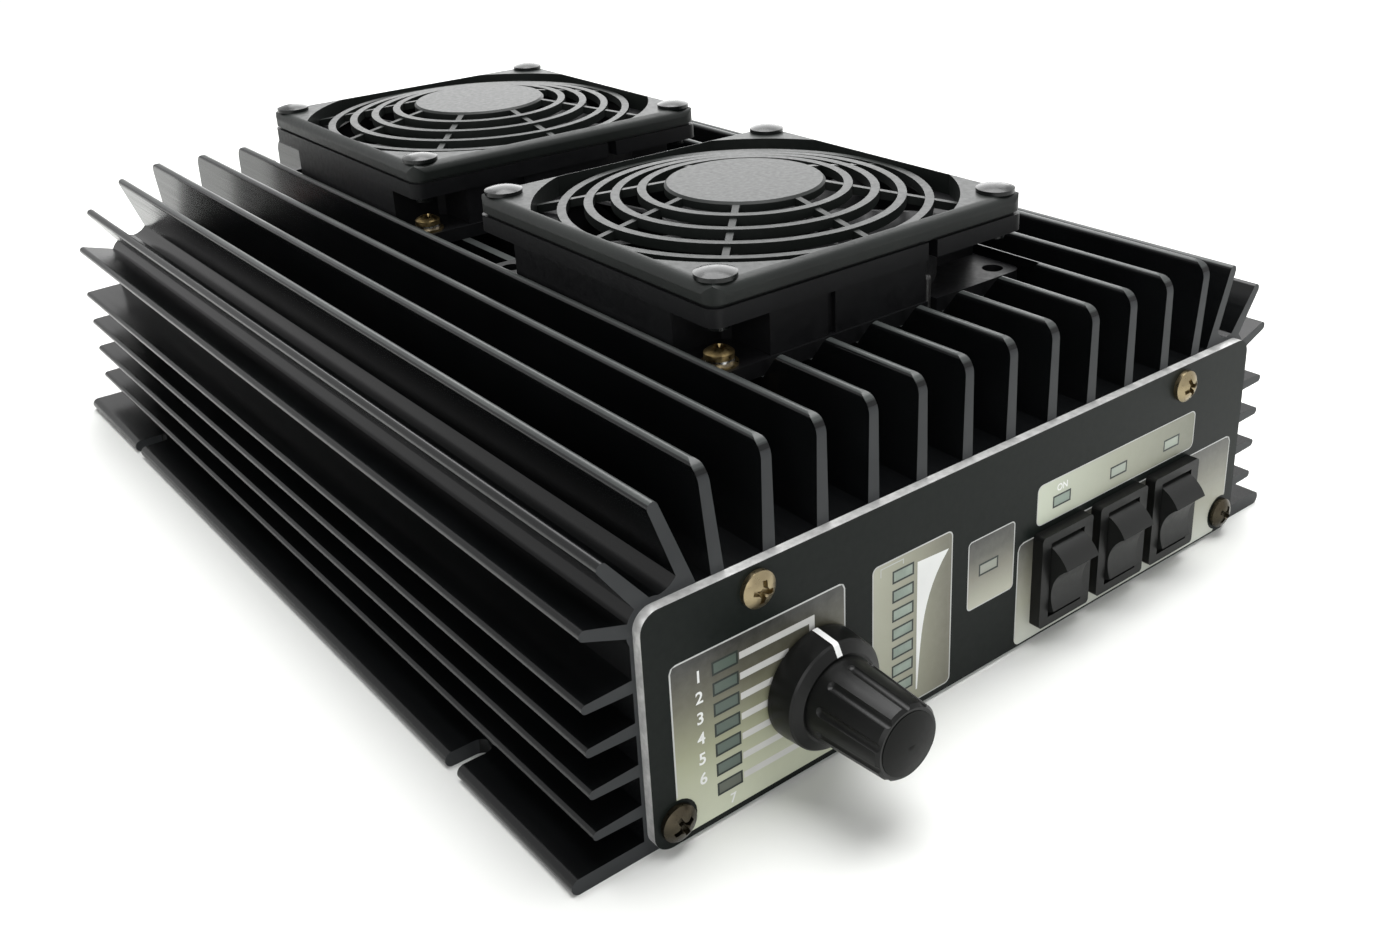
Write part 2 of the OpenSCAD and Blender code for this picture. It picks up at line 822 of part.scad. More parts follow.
// The frame of one fan: two square flanges, the wall between them, and the motor plate
module fan_frame(f) {
    color([0.07, 0.07, 0.07])
        placed()
            translate([0, f, fan_z])
                difference() {
                    union() {
                        difference() {
                            union() {
                                translate([0, 0, fan_h - fan_flange_t])
                                    linear_extrude(fan_flange_t)
                                        round_rect(fan_side, fan_side, 2.5);
                                linear_extrude(fan_foot_t)
                                    round_rect(fan_side, fan_side, 2.5);
                                cylinder(r = fan_side / 2 - 0.8, h = fan_h, $fn = 96);
                                // flat walls along each side; the front one ends at the wires
                                translate([-fan_side / 2 + 0.6, -fan_wall / 2, 0])
                                    cube([fan_side - 1.2, fan_wall, fan_h]);
                                translate([-fan_wall / 2, 0, 0])
                                    cube([fan_wall, fan_side / 2 - 0.6, fan_h]);
                                translate([-fan_wall / 2, -fan_side / 2 + 0.6, 0])
                                    cube([fan_wall / 2 + wire_x, fan_side / 2, fan_h]);
                            }
                            translate([0, 0, -1])
                                cylinder(r = fan_bore_r, h = fan_h + 2, $fn = 96);
                        }
                        cylinder(r = hub_r, h = plate_t, $fn = 64);
                        for (a = [20, 110])
                            rotate(a)
                                translate([-fan_bore_r - 0.8, -2, 0])
                                    cube([2 * fan_bore_r + 1.6, 4, plate_t - 0.4]);
                        cylinder(r = bearing_r, h = fan_h - 4, $fn = 40);
                    }
                    for (sx = [-1, 1], sy = [-1, 1])
                        translate([sx * hole_o, sy * hole_o, -1])
                            cylinder(r = 2.15, h = fan_h + 2, $fn = 32);
                    // the spindle's bearing
                    translate([0, 0, 1.2])
                        cylinder(r = spindle_r + slack, h = fan_h, $fn = 32);
                    // a channel for the wires, a slot beside it, and the wires' hole
                    translate([wire_x - wire_r - 0.2, -fan_side / 2 - 1, -1])
                        cube([2 * wire_r + 0.4, 3.9, fan_h + 2]);
                    translate([-13.2, -fan_side / 2 - 1, fan_foot_t])
                        cube([1.9, 2.6, fan_h - fan_foot_t - fan_flange_t]);
                    rod_y(wire_x, wire_z - fan_z, -fan_side / 2, 8, wire_r + slack, 24);
                }
}

// The rotor of one fan: a cup on a spindle, with curved blades round it
module fan_rotor(f) {
    cup_z = plate_t + 0.5;
    cup_h = fan_h - cup_z - 0.6;
    color([0.1, 0.1, 0.1])
        placed()
            translate([0, f, fan_z]) {
                difference() {
                    translate([0, 0, cup_z])
                        cylinder(r = hub_r, h = cup_h, $fn = 64);
                    translate([0, 0, cup_z - 1])
                        cylinder(r = hub_r - 1.6, h = cup_h - 0.4, $fn = 64);
                }
                translate([0, 0, 1.6])
                    cylinder(r = spindle_r, h = fan_h - 3.4, $fn = 32);
                for (i = [0:blade_n - 1])
                    rotate(i * 360 / blade_n)
                        fan_blade(cup_z, cup_h);
            }
}

// One blade: a crescent, pitched, that runs from the cup nearly to the bore
module fan_blade(z0, h) {
    curve_r = 19;
    intersection() {
        difference() {
            translate([0, 0, z0 + 0.3])
                cylinder(r = fan_bore_r - 0.8, h = h - 0.6, $fn = 64);
            translate([0, 0, z0 - 1])
                cylinder(r = hub_r - 0.8, h = h + 2, $fn = 64);
        }
        translate([hub_r - 2, 0, z0 + h / 2])
            rotate([52, 0, 0])
                rotate([90, 0, 90])
                    linear_extrude(fan_bore_r - hub_r + 2)
                        intersection() {
                            difference() {
                                translate([0, -curve_r])
                                    circle(r = curve_r, $fn = 96);
                                translate([0, -curve_r - 1.1])
                                    circle(r = curve_r, $fn = 96);
                            }
                            translate([-9, -4])
                                square([18, 8]);
                        }
    }
}

module fan_stators() {
    color([0.5, 0.32, 0.16])
        placed()
            for (f = fan_y)
                translate([0, f, fan_z + plate_t])
                    difference() {
                        cylinder(r = hub_r - 2.4, h = fan_h - plate_t - 6, $fn = 48);
                        translate([0, 0, -1])
                            cylinder(r = bearing_r + 0.02, h = fan_h, $fn = 40);
                    }
}

// A slab with a round-cornered outline and rounded upper edges, standing on z = 0
module soft_slab(side, h, corner_r, edge_r) {
    intersection() {
        linear_extrude(h)
            round_rect(side, side, corner_r);
        for_both_ways()
            translate([-side / 2 - 1, 0, 0])
                rotate([90, 0, 90])
                    linear_extrude(side + 2)
                        union() {
                            translate([-side / 2, 0])
                                square([side, h - edge_r]);
                            translate([-side / 2 + edge_r, 0])
                                square([side - 2 * edge_r, h]);
                            for (s = [-1, 1])
                                translate([s * (side / 2 - edge_r), h - edge_r])
                                    circle(r = edge_r, $fn = 40);
                        }
    }
}

// The part of its child that also lies inside the same child turned a quarter
module for_both_ways() {
    intersection() {
        children();
        rotate(90)
            children();
    }
}

// One guard: a rounded frame, and a grille of rings and spokes that rises to a centre disc
module fan_guard(f) {
    lip = 0.7;
    bar_h = 2;
    low_z = guard_h - 1.1;
    high_z = guard_h + disc_rise;
    outer_r = fan_bore_r + 0.4;
    step_r = (outer_r - disc_r) / ring_n;
    fall = (high_z - low_z) / ring_n;
    slope = atan(fall / step_r);
    // the straight spokes end at the frame's sides, the others in its corners
    spoke_end = [fan_side * 0.483, fan_side * 0.555];
    color([0.06, 0.06, 0.06])
        placed()
            translate([0, f, fan_top]) {
                difference() {
                    union() {
                        translate([0, 0, lip])
                            soft_slab(fan_side, guard_h - lip, 3.2, 2);
                        linear_extrude(lip + 0.1)
                            round_rect(fan_side - 1.6, fan_side - 1.6, 2.4);
                    }
                    intersection() {
                        translate([0, 0, -1])
                            cylinder(r = fan_side * 0.545, h = guard_h + 2, $fn = 96);
                        translate([0, 0, guard_h / 2])
                            cube([fan_side - 3.6, fan_side - 3.6, guard_h + 4], center = true);
                    }
                    for (sx = [-1, 1], sy = [-1, 1])
                        translate([sx * hole_o, sy * hole_o, -1])
                            cylinder(r = 2.15, h = guard_h + 2, $fn = 32);
                }
                translate([0, 0, high_z - bar_h])
                    cylinder(r = disc_r, h = bar_h - 0.5, $fn = 96);
                translate([0, 0, high_z - 0.5])
                    cylinder(r1 = disc_r, r2 = disc_r - 0.5, h = 0.5, $fn = 96);
                for (i = [1:ring_n])
                    translate([0, 0, high_z - i * fall - bar_h])
                        difference() {
                            cylinder(r = disc_r + i * step_r, h = bar_h, $fn = 96);
                            translate([0, 0, -1])
                                cylinder(r = disc_r + i * step_r - ring_w, h = 5, $fn = 96);
                        }
                difference() {
                    for (a = [0:45:315])
                        rotate(a)
                            translate([disc_r - 1.5, -0.7, high_z - 0.15])
                                rotate([0, slope, 0])
                                    translate([0, 0, -bar_h + 0.2])
                                        cube([spoke_end[a % 2] - disc_r + 2, 1.4, bar_h - 0.3]);
                    // nothing under the guard's seat
                    translate([0, 0, -9.98])
                        cylinder(r = fan_side, h = 10);
                }
            }
}

// Push rivets: a low domed head over a plain shank
module guard_rivets() {
    head_r = 3.95;
    head_h = 1.6;
    dome_r = 10.5;
    color([0.08, 0.08, 0.08])
        placed()
            for (f = fan_y, sx = [-1, 1], sy = [-1, 1])
                translate([sx * hole_o, f + sy * hole_o, guard_top]) {
                    rotate_extrude($fn = 48)
                        intersection() {
                            square([head_r, head_h]);
                            translate([0, head_h - dome_r])
                                circle(r = dome_r, $fn = 160);
                        }
                    translate([0, 0, -guard_h - fan_flange_t - 1.6])
                        cylinder(r = 2.1, h = guard_h + fan_flange_t + 1.7, $fn = 32);
                }
}

// Each fan is held at two opposite corners
module fan_screws() {
    seat_z = fan_z + fan_foot_t + 1.3;
    color([0.72, 0.6, 0.33])
        placed()
            for (f = fan_y, s = [-1, 1])
                translate([s * hole_o, f + s * hole_o, seat_z])
                    pan_screw(seat_z - in_top - 0.6, m3_r, 2.8);
}

// A flat washer under each of those screws
module fan_washers() {
    color([0.72, 0.6, 0.33])
        placed()
            for (f = fan_y, s = [-1, 1])
                translate([s * hole_o, f + s * hole_o, fan_z + fan_foot_t])
                    difference() {
                        cylinder(r = 3.5, h = 0.5, $fn = 40);
                        translate([0, 0, -1])
                            cylinder(r = m3_r + 0.1, h = 3, $fn = 24);
                    }
}

// A split spring washer on each flat one
module spring_washers() {
    color([0.6, 0.6, 0.6])
        placed()
            for (f = fan_y, s = [-1, 1])
                translate([s * hole_o, f + s * hole_o, fan_z + fan_foot_t + 0.5])
                    difference() {
                        cylinder(r = 2.75, h = 0.8, $fn = 40);
                        translate([0, 0, -1])
                            cylinder(r = m3_r + 0.15, h = 3, $fn = 24);
                        translate([0, -0.2, -1])
                            cube([4, 0.4, 3]);
                    }
}

// The wires of each fan, down between two fins and through the top wall
module fan_leads() {
    color([0.5, 0.08, 0.06])
        placed()
            for (f = fan_y)
                translate([0, f + wire_y, 0]) {
                    translate([wire_x, 0, board_z + board_t])
                        cylinder(r = wire_r, h = wire_z - board_z - board_t, $fn = 24);
                    translate([wire_x, 0, wire_z])
                        sphere(r = wire_r, $fn = 24);
                    rod_y(wire_x, wire_z, 0, 2.9, wire_r, 24);
                }
}

// A coaxial socket: square flange, threaded barrel and a hollow for its insulator
module coax_socket(x) {
    y0 = body_len + panel_t;
    color([0.78, 0.78, 0.76])
        placed()
            difference() {
                union() {
                    translate([x - socket_flange / 2, y0, socket_z - socket_flange / 2])
                        cube([socket_flange, socket_flange_t, socket_flange]);
                    rod_y(x, socket_z, y0, rear_reach - panel_t, socket_r, 64);
                    rod_y(x, socket_z, y0 - panel_t - 2.5, 3 + panel_t, 6.5, 40);
                }
                rod_y(x, socket_z, y0 - panel_t - 4, 30, 5.6, 48);
                for (sx = [-1, 1], sz = [-1, 1])
                    rod_y(x + sx * 9.1, socket_z + sz * 9.1, y0 - 1, 4, m3_r + slack, 24);
            }
}

module socket_insulators() {
    y0 = body_len - 2.5;
    color([0.92, 0.9, 0.84])
        placed()
            for (x = [input_socket_x, output_socket_x])
                difference() {
                    rod_y(x, socket_z, y0, 8.5, 5.58, 48);
                    rod_y(x, socket_z, y0 - 1, 12, 2.52, 32);
                }
}

module socket_contacts() {
    y0 = body_len - 9;
    tail = board_y1 - 5;
    color([0.8, 0.68, 0.36])
        placed()
            for (x = [input_socket_x, output_socket_x]) {
                difference() {
                    rod_y(x, socket_z, y0, 22, 2.5, 32);
                    rod_y(x, socket_z, body_len + 3, 12, 2, 32);
                }
                // the link from the contact to the board
                rod_y(x, socket_z, tail, y0 - tail + 1, 1, 16);
                translate([x, tail, socket_z])
                    cylinder(r = 1, h = board_z - socket_z, $fn = 16);
                translate([x, tail, socket_z])
                    sphere(r = 1, $fn = 16);
            }
}

module socket_screws() {
    color([0.72, 0.72, 0.7])
        placed()
            for (x = [input_socket_x, output_socket_x], sx = [-1, 1], sz = [-1, 1])
                translate([x + sx * 9.1, body_len + panel_t + socket_flange_t, socket_z + sz * 9.1])
                    rotate([-90, 20 * sz, 0])
                        pan_screw(5.5, m3_r, 2.6);
}

// The rubber strain relief that the supply lead leaves the rear panel through
module lead_grommet() {
    y0 = body_len;
    color([0.08, 0.08, 0.08])
        placed()
            difference() {
                union() {
                    rod_y(grommet_x, grommet_z, y0 - 2.2, 2.1, 8, 48);
                    rod_y(grommet_x, grommet_z, y0 - 0.2, panel_t + 0.4, 6.5, 48);
                    rod_y(grommet_x, grommet_z, y0 + panel_t + slack, 2.6, 8, 48);
                    translate([grommet_x, y0 + panel_t + 2.5, grommet_z])
                        rotate([-90, 0, 0])
                            cylinder(r1 = 7, r2 = 5.4, h = grommet_len - 2.5, $fn = 48);
                }
                translate([grommet_x, y0 + 4, grommet_z])
                    cube([lead_t + 0.04, 44, lead_w + 0.04], center = true);
            }
}

// The two cores inside the case, from the grommet up to the board
module supply_tails() {
    tail = board_y1 - 6;
    color([0.5, 0.08, 0.06])
        placed()
            for (s = [-1, 1]) {
                z = grommet_z + s * 2;
                y = tail + 2.5 * s;
                rod_y(grommet_x, z, y, body_len + panel_t - y, 1.9, 24);
                translate([grommet_x, y, z])
                    cylinder(r = 1.9, h = board_z - z, $fn = 24);
                translate([grommet_x, y, z])
                    sphere(r = 1.9, $fn = 24);
            }
}

// ---- the supply lead: one flat two-core cable, its cores one above the other ----
// Thickness of a tie, which also lifts the coil off the surface
tie_t = 0.8;
coil_c = [14, body_len + 98];
coil_out_r = 56;
coil_z = tie_t + lead_w / 2;
lead_exit = [grommet_x, body_len + panel_t + grommet_len, grommet_z];
// The route's own points behind the strain relief, then on the surface to the coil
lead_steps = [
    [0, 0, 0],
    [0, 6, 0],
    [0, 13, -1],
    [0, 20, -3.5],
    [1, 28, -7.5],
    [2, 36, -12],
    [3.5, 44, -15.6],
    [5, 52, -17.9],
    [6.4, 60, -19]];
lead_route = concat([for (p = lead_steps) lead_exit + p],
    [[-42.6, lead_exit[1] + 68, coil_z],
    [-42.1, lead_exit[1] + 75, coil_z],
    [coil_c[0] - coil_out_r, coil_c[1] - lead_t, coil_z]]);
// Points round the coil, clockwise from its left side and inwards
coil_rings = 24;
coil_n = coil_turns * coil_rings;
function coil_point(i) =
    let (a = 180 - i * 360 / coil_rings, r = coil_out_r - coil_step * i / coil_rings)
    [coil_c[0] + r * cos(a), coil_c[1] + r * sin(a), coil_z];
// The free end turns in, away from the turn outside it
end_way = [sin(30), cos(30), 0];
coil_line = concat(
    [[coil_c[0] - coil_out_r, coil_c[1] - lead_t, coil_z]],
    [for (i = [0:coil_n]) coil_point(i)],
    [coil_point(coil_n) + lead_t * end_way]);
// The least distance between turns, less the lead's thickness
coil_gap = min([for (i = [0:coil_n - coil_rings])
    norm(coil_point(i) - coil_point(i + coil_rings))]) - lead_t;
echo(coil_gap = coil_gap);

function unit(v) = v / norm(v);
// The direction of a line at point i
function heading(line, i) =
    unit(line[min(i + 1, len(line) - 1)] - line[max(i - 1, 0)]);

// A tube of six or eight sides and oval section along a line, its long side upright
module lead_tube(line, sides, last_way) {
    n = len(line);
    squared = 0.92;
    top = sides == 6 ? 1 : sin(67.5);
    points = [for (i = [0:n - 1])
        let (d = i == 0 ? [0, 1, 0] : i == n - 1 ? last_way : heading(line, i),
            side = unit(cross(d, [0, 0, 1])), up = cross(side, d))
        for (k = [0:sides - 1])
            let (a = 360 * (k + 0.5) / sides)
            line[i] + side * cos(a) * lead_t / 2 / cos(180 / sides) * squared
                + up * sin(a) * lead_w / 2 / top ];
    faces = concat(
        [[for (k = [sides - 1:-1:0]) k]],
        [for (i = [0:n - 2], k = [0:sides - 1])
            let (a = i * sides + k, b = i * sides + (k + 1) % sides)
            each [[a, b + sides, a + sides], [a, b, b + sides]]],
        [[for (k = [0:sides - 1]) (n - 1) * sides + k]]);
    polyhedron(points, faces, convexity = 10);
}

module supply_lead() {
    color([0.65, 0.08, 0.06])
        placed()
            lead_tube(lead_route, 8, [0, 1, 0]);
}

module supply_coil() {
    color([0.65, 0.08, 0.06])
        placed()
            lead_tube(coil_line, 6, end_way);
}

// Two ties that hold the turns together, one on each side of the coil
module coil_ties() {
    room = lead_t / 2 + 0.3;
    color([0.85, 0.82, 0.7])
        placed()
            for (a = [60, -100]) {
                outer = coil_out_r - coil_step * (180 - a) / 360 + room;
                inner = outer - coil_step * (coil_turns - 1) - 2 * room;
                translate([coil_c[0], coil_c[1], 0])
                    rotate(a)
                        difference() {
                            translate([inner - tie_t, -1.8, 0])
                                cube([outer - inner + 2 * tie_t, 3.6, lead_w + 2 * tie_t + 0.2]);
                            translate([inner, -3, tie_t])
                                cube([outer - inner, 6, lead_w + 0.2]);
                        }
            }
}

// The stripped and tinned ends of the two cores
module lead_ends() {
    tip = coil_line[len(coil_line) - 1];
    color([0.8, 0.8, 0.78])
        placed()
            for (s = [-1, 1])
                translate(tip + [0, 0, s * 2])
                    rotate(-30) {
                        rod_y(0, 0, 0, 9, 1.6, 20);
                        rod_y(0, 0, 8.9, 8, 1.1, 20);
                    }
}

heat_sink();
bottom_cover();
cover_screws();
front_panel();
front_panel_screws();
rear_panel();
rear_panel_screws();
band_knob();
knob_cap();
selector_shaft();
selector_switch();
selector_nut();
switch_housing(switch_xs[0]);  // front_switch_a
switch_housing(switch_xs[1]);  // front_switch_b
switch_housing(switch_xs[2]);  // front_switch_c
rocker(switch_xs[0]);  // rocker_a
rocker(switch_xs[1]);  // rocker_b
rocker(switch_xs[2]);  // rocker_c
band_lights();
output_lights();
status_lights();
front_board();
main_board();
board_pillars();
board_screws();
ribbon_cable();
power_transistors();
transistor_screws();
transformers();
filter_coils();
relays();
capacitors();
fan_frame(fan_y[0]);  // front_fan_frame
fan_frame(fan_y[1]);  // rear_fan_frame
fan_rotor(fan_y[0]);  // front_fan_rotor
fan_rotor(fan_y[1]);  // rear_fan_rotor
fan_stators();
fan_guard(fan_y[0]);  // front_fan_guard
fan_guard(fan_y[1]);  // rear_fan_guard
guard_rivets();
fan_screws();
fan_washers();
spring_washers();
fan_leads();
coax_socket(output_socket_x);  // output_socket
coax_socket(input_socket_x);  // input_socket
socket_insulators();
socket_contacts();
socket_screws();
lead_grommet();
supply_tails();
supply_lead();
supply_coil();
coil_ties();
lead_ends();
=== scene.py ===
import bpy
import bmesh
import math
from mathutils import Matrix, Vector


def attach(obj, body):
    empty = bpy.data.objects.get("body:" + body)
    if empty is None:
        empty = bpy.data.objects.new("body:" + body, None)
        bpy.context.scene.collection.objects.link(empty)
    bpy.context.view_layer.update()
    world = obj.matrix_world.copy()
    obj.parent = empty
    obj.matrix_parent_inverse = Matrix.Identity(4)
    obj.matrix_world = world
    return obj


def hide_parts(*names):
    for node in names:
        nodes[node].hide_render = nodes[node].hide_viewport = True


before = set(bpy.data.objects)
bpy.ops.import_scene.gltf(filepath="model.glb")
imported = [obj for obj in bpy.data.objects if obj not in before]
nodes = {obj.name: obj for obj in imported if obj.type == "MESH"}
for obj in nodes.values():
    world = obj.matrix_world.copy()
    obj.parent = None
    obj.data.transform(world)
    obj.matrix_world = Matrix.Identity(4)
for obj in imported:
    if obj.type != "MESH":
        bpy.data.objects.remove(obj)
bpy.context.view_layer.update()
print("frame loaded:", len(nodes), "nodes")

midY = 117.9  # millimetres from the front end of the extrusion to the frame's middle
panelFace = -2.0  # the front panel's face, from the same end


def place(x, y, z):
    return Vector((x / 1000, (y - midY) / 1000, z / 1000))


# view settings, camera
scene = bpy.context.scene
scene.view_settings.view_transform = "Standard"
scene.view_settings.look = "None"

cameraSettings = {
    "position": (-0.17537, -0.2695, 0.16175),
    "azimuth": 0.67416,
    "elevation": 0.3975,
    "roll": -0.035198,
    "lens": 36.532,
    "shift": (-0.03565, -0.08762),
}


def makeCamera(settings):
    az, el, roll = settings["azimuth"], settings["elevation"], settings["roll"]
    ahead = Vector((math.sin(az) * math.cos(el), math.cos(az) * math.cos(el), -math.sin(el)))
    right = Vector((math.cos(az), -math.sin(az), 0))
    up = right.cross(ahead)
    across = right * math.cos(roll) + up * math.sin(roll)
    upward = up * math.cos(roll) - right * math.sin(roll)
    data = bpy.data.cameras.new("camera")
    data.sensor_width = 36
    data.lens = settings["lens"]
    data.shift_x, data.shift_y = settings["shift"]
    data.clip_start, data.clip_end = 0.01, 30
    camera = bpy.data.objects.new("camera", data)
    scene.collection.objects.link(camera)
    turned = Matrix((across, upward, -ahead)).transposed().to_4x4()
    camera.matrix_world = Matrix.Translation(settings["position"]) @ turned
    scene.camera = camera


makeCamera(cameraSettings)
print("camera made")


# helpers for meshes
def newPiece(name, mesh, body, finish=None):
    piece = bpy.data.objects.new(name, mesh)
    scene.collection.objects.link(piece)
    if finish is not None:
        mesh.materials.append(finish)
    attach(piece, body)
    return piece


def meshOf(name, points, faces, smooth=False):
    mesh = bpy.data.meshes.new(name)
    mesh.from_pydata([tuple(p) for p in points], [], faces)
    for face in mesh.polygons:
        face.use_smooth = smooth
    mesh.validate()
    return mesh


def smoothByAngle(piece, degrees=32):
    mesh = piece.data
    for face in mesh.polygons:
        face.use_smooth = True
    mesh.set_sharp_from_angle(angle=math.radians(degrees))


# the supply lead, stored in a coil behind the object
leadSettings = {
    "steps": [(0, 0, 0), (0, 6, 0), (0, 13, -1), (0, 20, -3.5), (1, 28, -7.5), (2, 36, -12),
              (3.5, 44, -15.6), (5, 52, -17.9), (6.4, 60, -19)],
    "exit": (-50, 260, 24),
    "landing": [(-42.6, 328, 4.8), (-42.1, 335, 4.8), (-42, 338, 4.8)],
    "middle": (14, 342),
    "outer": 56,
    "step": 4.6,
    "turns": 4,
    "rings": 24,
    "height": 4.8,
    "coreRadius": 1.93,
    "coreOffset": 2.0,
    "web": 0.5,
    "coreSides": 14,
    "tail": 4,
}
endWay = Vector((0.5, math.sqrt(0.75), 0))  # the free end turns in a little


def leadRoute(s):
    ex, ey, ez = s["exit"]
    route = [(ex + a, ey + b, ez + c) for a, b, c in s["steps"]] + list(s["landing"])
    cx, cy = s["middle"]
    count = s["turns"] * s["rings"]
    for i in range(count + 1):
        angle = math.pi - i * 2 * math.pi / s["rings"]
        radius = s["outer"] - s["step"] * i / s["rings"]
        route.append((cx + radius * math.cos(angle), cy + radius * math.sin(angle), s["height"]))
    x, y, z = route[-1]
    route.append((x + s["tail"] * endWay.x, y + s["tail"] * endWay.y, z))
    return [place(*p) for p in route]


def twinProfile(s):
    profile = []
    reach = math.radians(74)
    sides = s["coreSides"]
    for half in (1, -1):
        for k in range(sides):
            turn = -reach + (math.pi + 2 * reach) * k / (sides - 1)
            side = math.cos(turn) * s["coreRadius"]
            up = s["coreOffset"] + math.sin(turn) * s["coreRadius"]
            profile.append((side * half / 1000, up * half / 1000))
    return profile


def sweep(route, profile, startWay=None, endWay=None):
    points, faces = [], []
    n, m = len(route), len(profile)
    for i, spot in enumerate(route):
        way = route[min(i + 1, n - 1)] - route[max(i - 1, 0)]
        if i == 0 and startWay is not None:
            way = Vector(startWay)
        if i == n - 1 and endWay is not None:
            way = Vector(endWay)
        way.normalize()
        side = way.cross(Vector((0, 0, 1))).normalized()
        up = side.cross(way)
        points += [spot + side * a + up * b for a, b in profile]
    for i in range(n - 1):
        for k in range(m):
            j = (k + 1) % m
            faces.append((i * m + k, i * m + j, (i + 1) * m + j, (i + 1) * m + k))
    faces.append(tuple(range(m - 1, -1, -1)))
    faces.append(tuple((n - 1) * m + k for k in range(m)))
    return points, faces


def finer(route, count):
    line = []
    last = len(route) - 1
    for i in range(last):
        a, b, c, d = (route[min(max(k, 0), last)] for k in (i - 1, i, i + 1, i + 2))
        for k in range(count):
            t = k / count
            line.append(0.5 * (2 * b + (c - a) * t + (2 * a - 5 * b + 4 * c - d) * t * t
                               + (3 * b - a - 3 * c + d) * t ** 3))
    return line + [route[-1]]


def roundProfile(radius, sides):
    return [(radius * math.cos(2 * math.pi * k / sides) / 1000,
             radius * math.sin(2 * math.pi * k / sides) / 1000) for k in range(sides)]


def makeLead(s):
    route = leadRoute(s)
    profile = twinProfile(s)
    points, faces = sweep(finer(route, 4), profile, (0, 1, 0), endWay)
    mesh = meshOf("supplyLead", points, faces, True)
    lead = newPiece("supplyLead", mesh, "case")
    half = len(profile) // 2
    for face in mesh.polygons:
        ring = [v % len(profile) for v in face.vertices]
        face.material_index = 0 if max(ring) < half or (0 in ring and max(ring) >= half) else 1
    length = sum((b - a).length for a, b in zip(route, route[1:]))
    return lead, route, length


lead, leadLine, leadLength = makeLead(leadSettings)
print("supply lead made:", round(leadLength, 3), "m")

leadEndSettings = {"stub": 9, "bare": 8, "stubRadius": 1.6, "strandRadius": 0.36, "lay": 0.72, "twist": 1.6}


def makeLeadEnds(s, tip):
    points, faces, kinds = [], [], []
    beside = endWay.cross(Vector((0, 0, 1)))
    for kind, up in ((0, 2), (1, -2)):
        start = tip + Vector((0, 0, up / 1000))
        stub = [start + endWay * d / 1000 for d in (0, 3, 6, s["stub"] - 0.4, s["stub"])]
        ring, lines = sweep(stub, roundProfile(s["stubRadius"], 20), endWay, endWay)
        base = len(points)
        points += ring
        faces += [tuple(v + base for v in f) for f in lines]
        kinds += [kind] * len(lines)
        for strand in range(7):
            line = []
            for k in range(13):
                along = s["stub"] - 0.5 + s["bare"] * k / 12
                turn = strand * math.pi / 3 + s["twist"] * math.pi * k / 12
                lay = s["lay"] if strand < 6 else 0
                spot = start + endWay * along / 1000
                aside = beside * lay * math.cos(turn) + Vector((0, 0, lay * math.sin(turn)))
                line.append(spot + aside / 1000)
            ring, lines = sweep(line, roundProfile(s["strandRadius"], 8))
            base = len(points)
            points += ring
            faces += [tuple(v + base for v in f) for f in lines]
            kinds += [2] * len(lines)
    mesh = meshOf("leadEnds", points, faces, True)
    piece = newPiece("leadEnds", mesh, "case")
    for face, kind in zip(mesh.polygons, kinds):
        face.material_index = kind
    return piece


leadEnds = makeLeadEnds(leadEndSettings, leadLine[-1])
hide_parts("supply_lead", "supply_coil")
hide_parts("lead_ends")


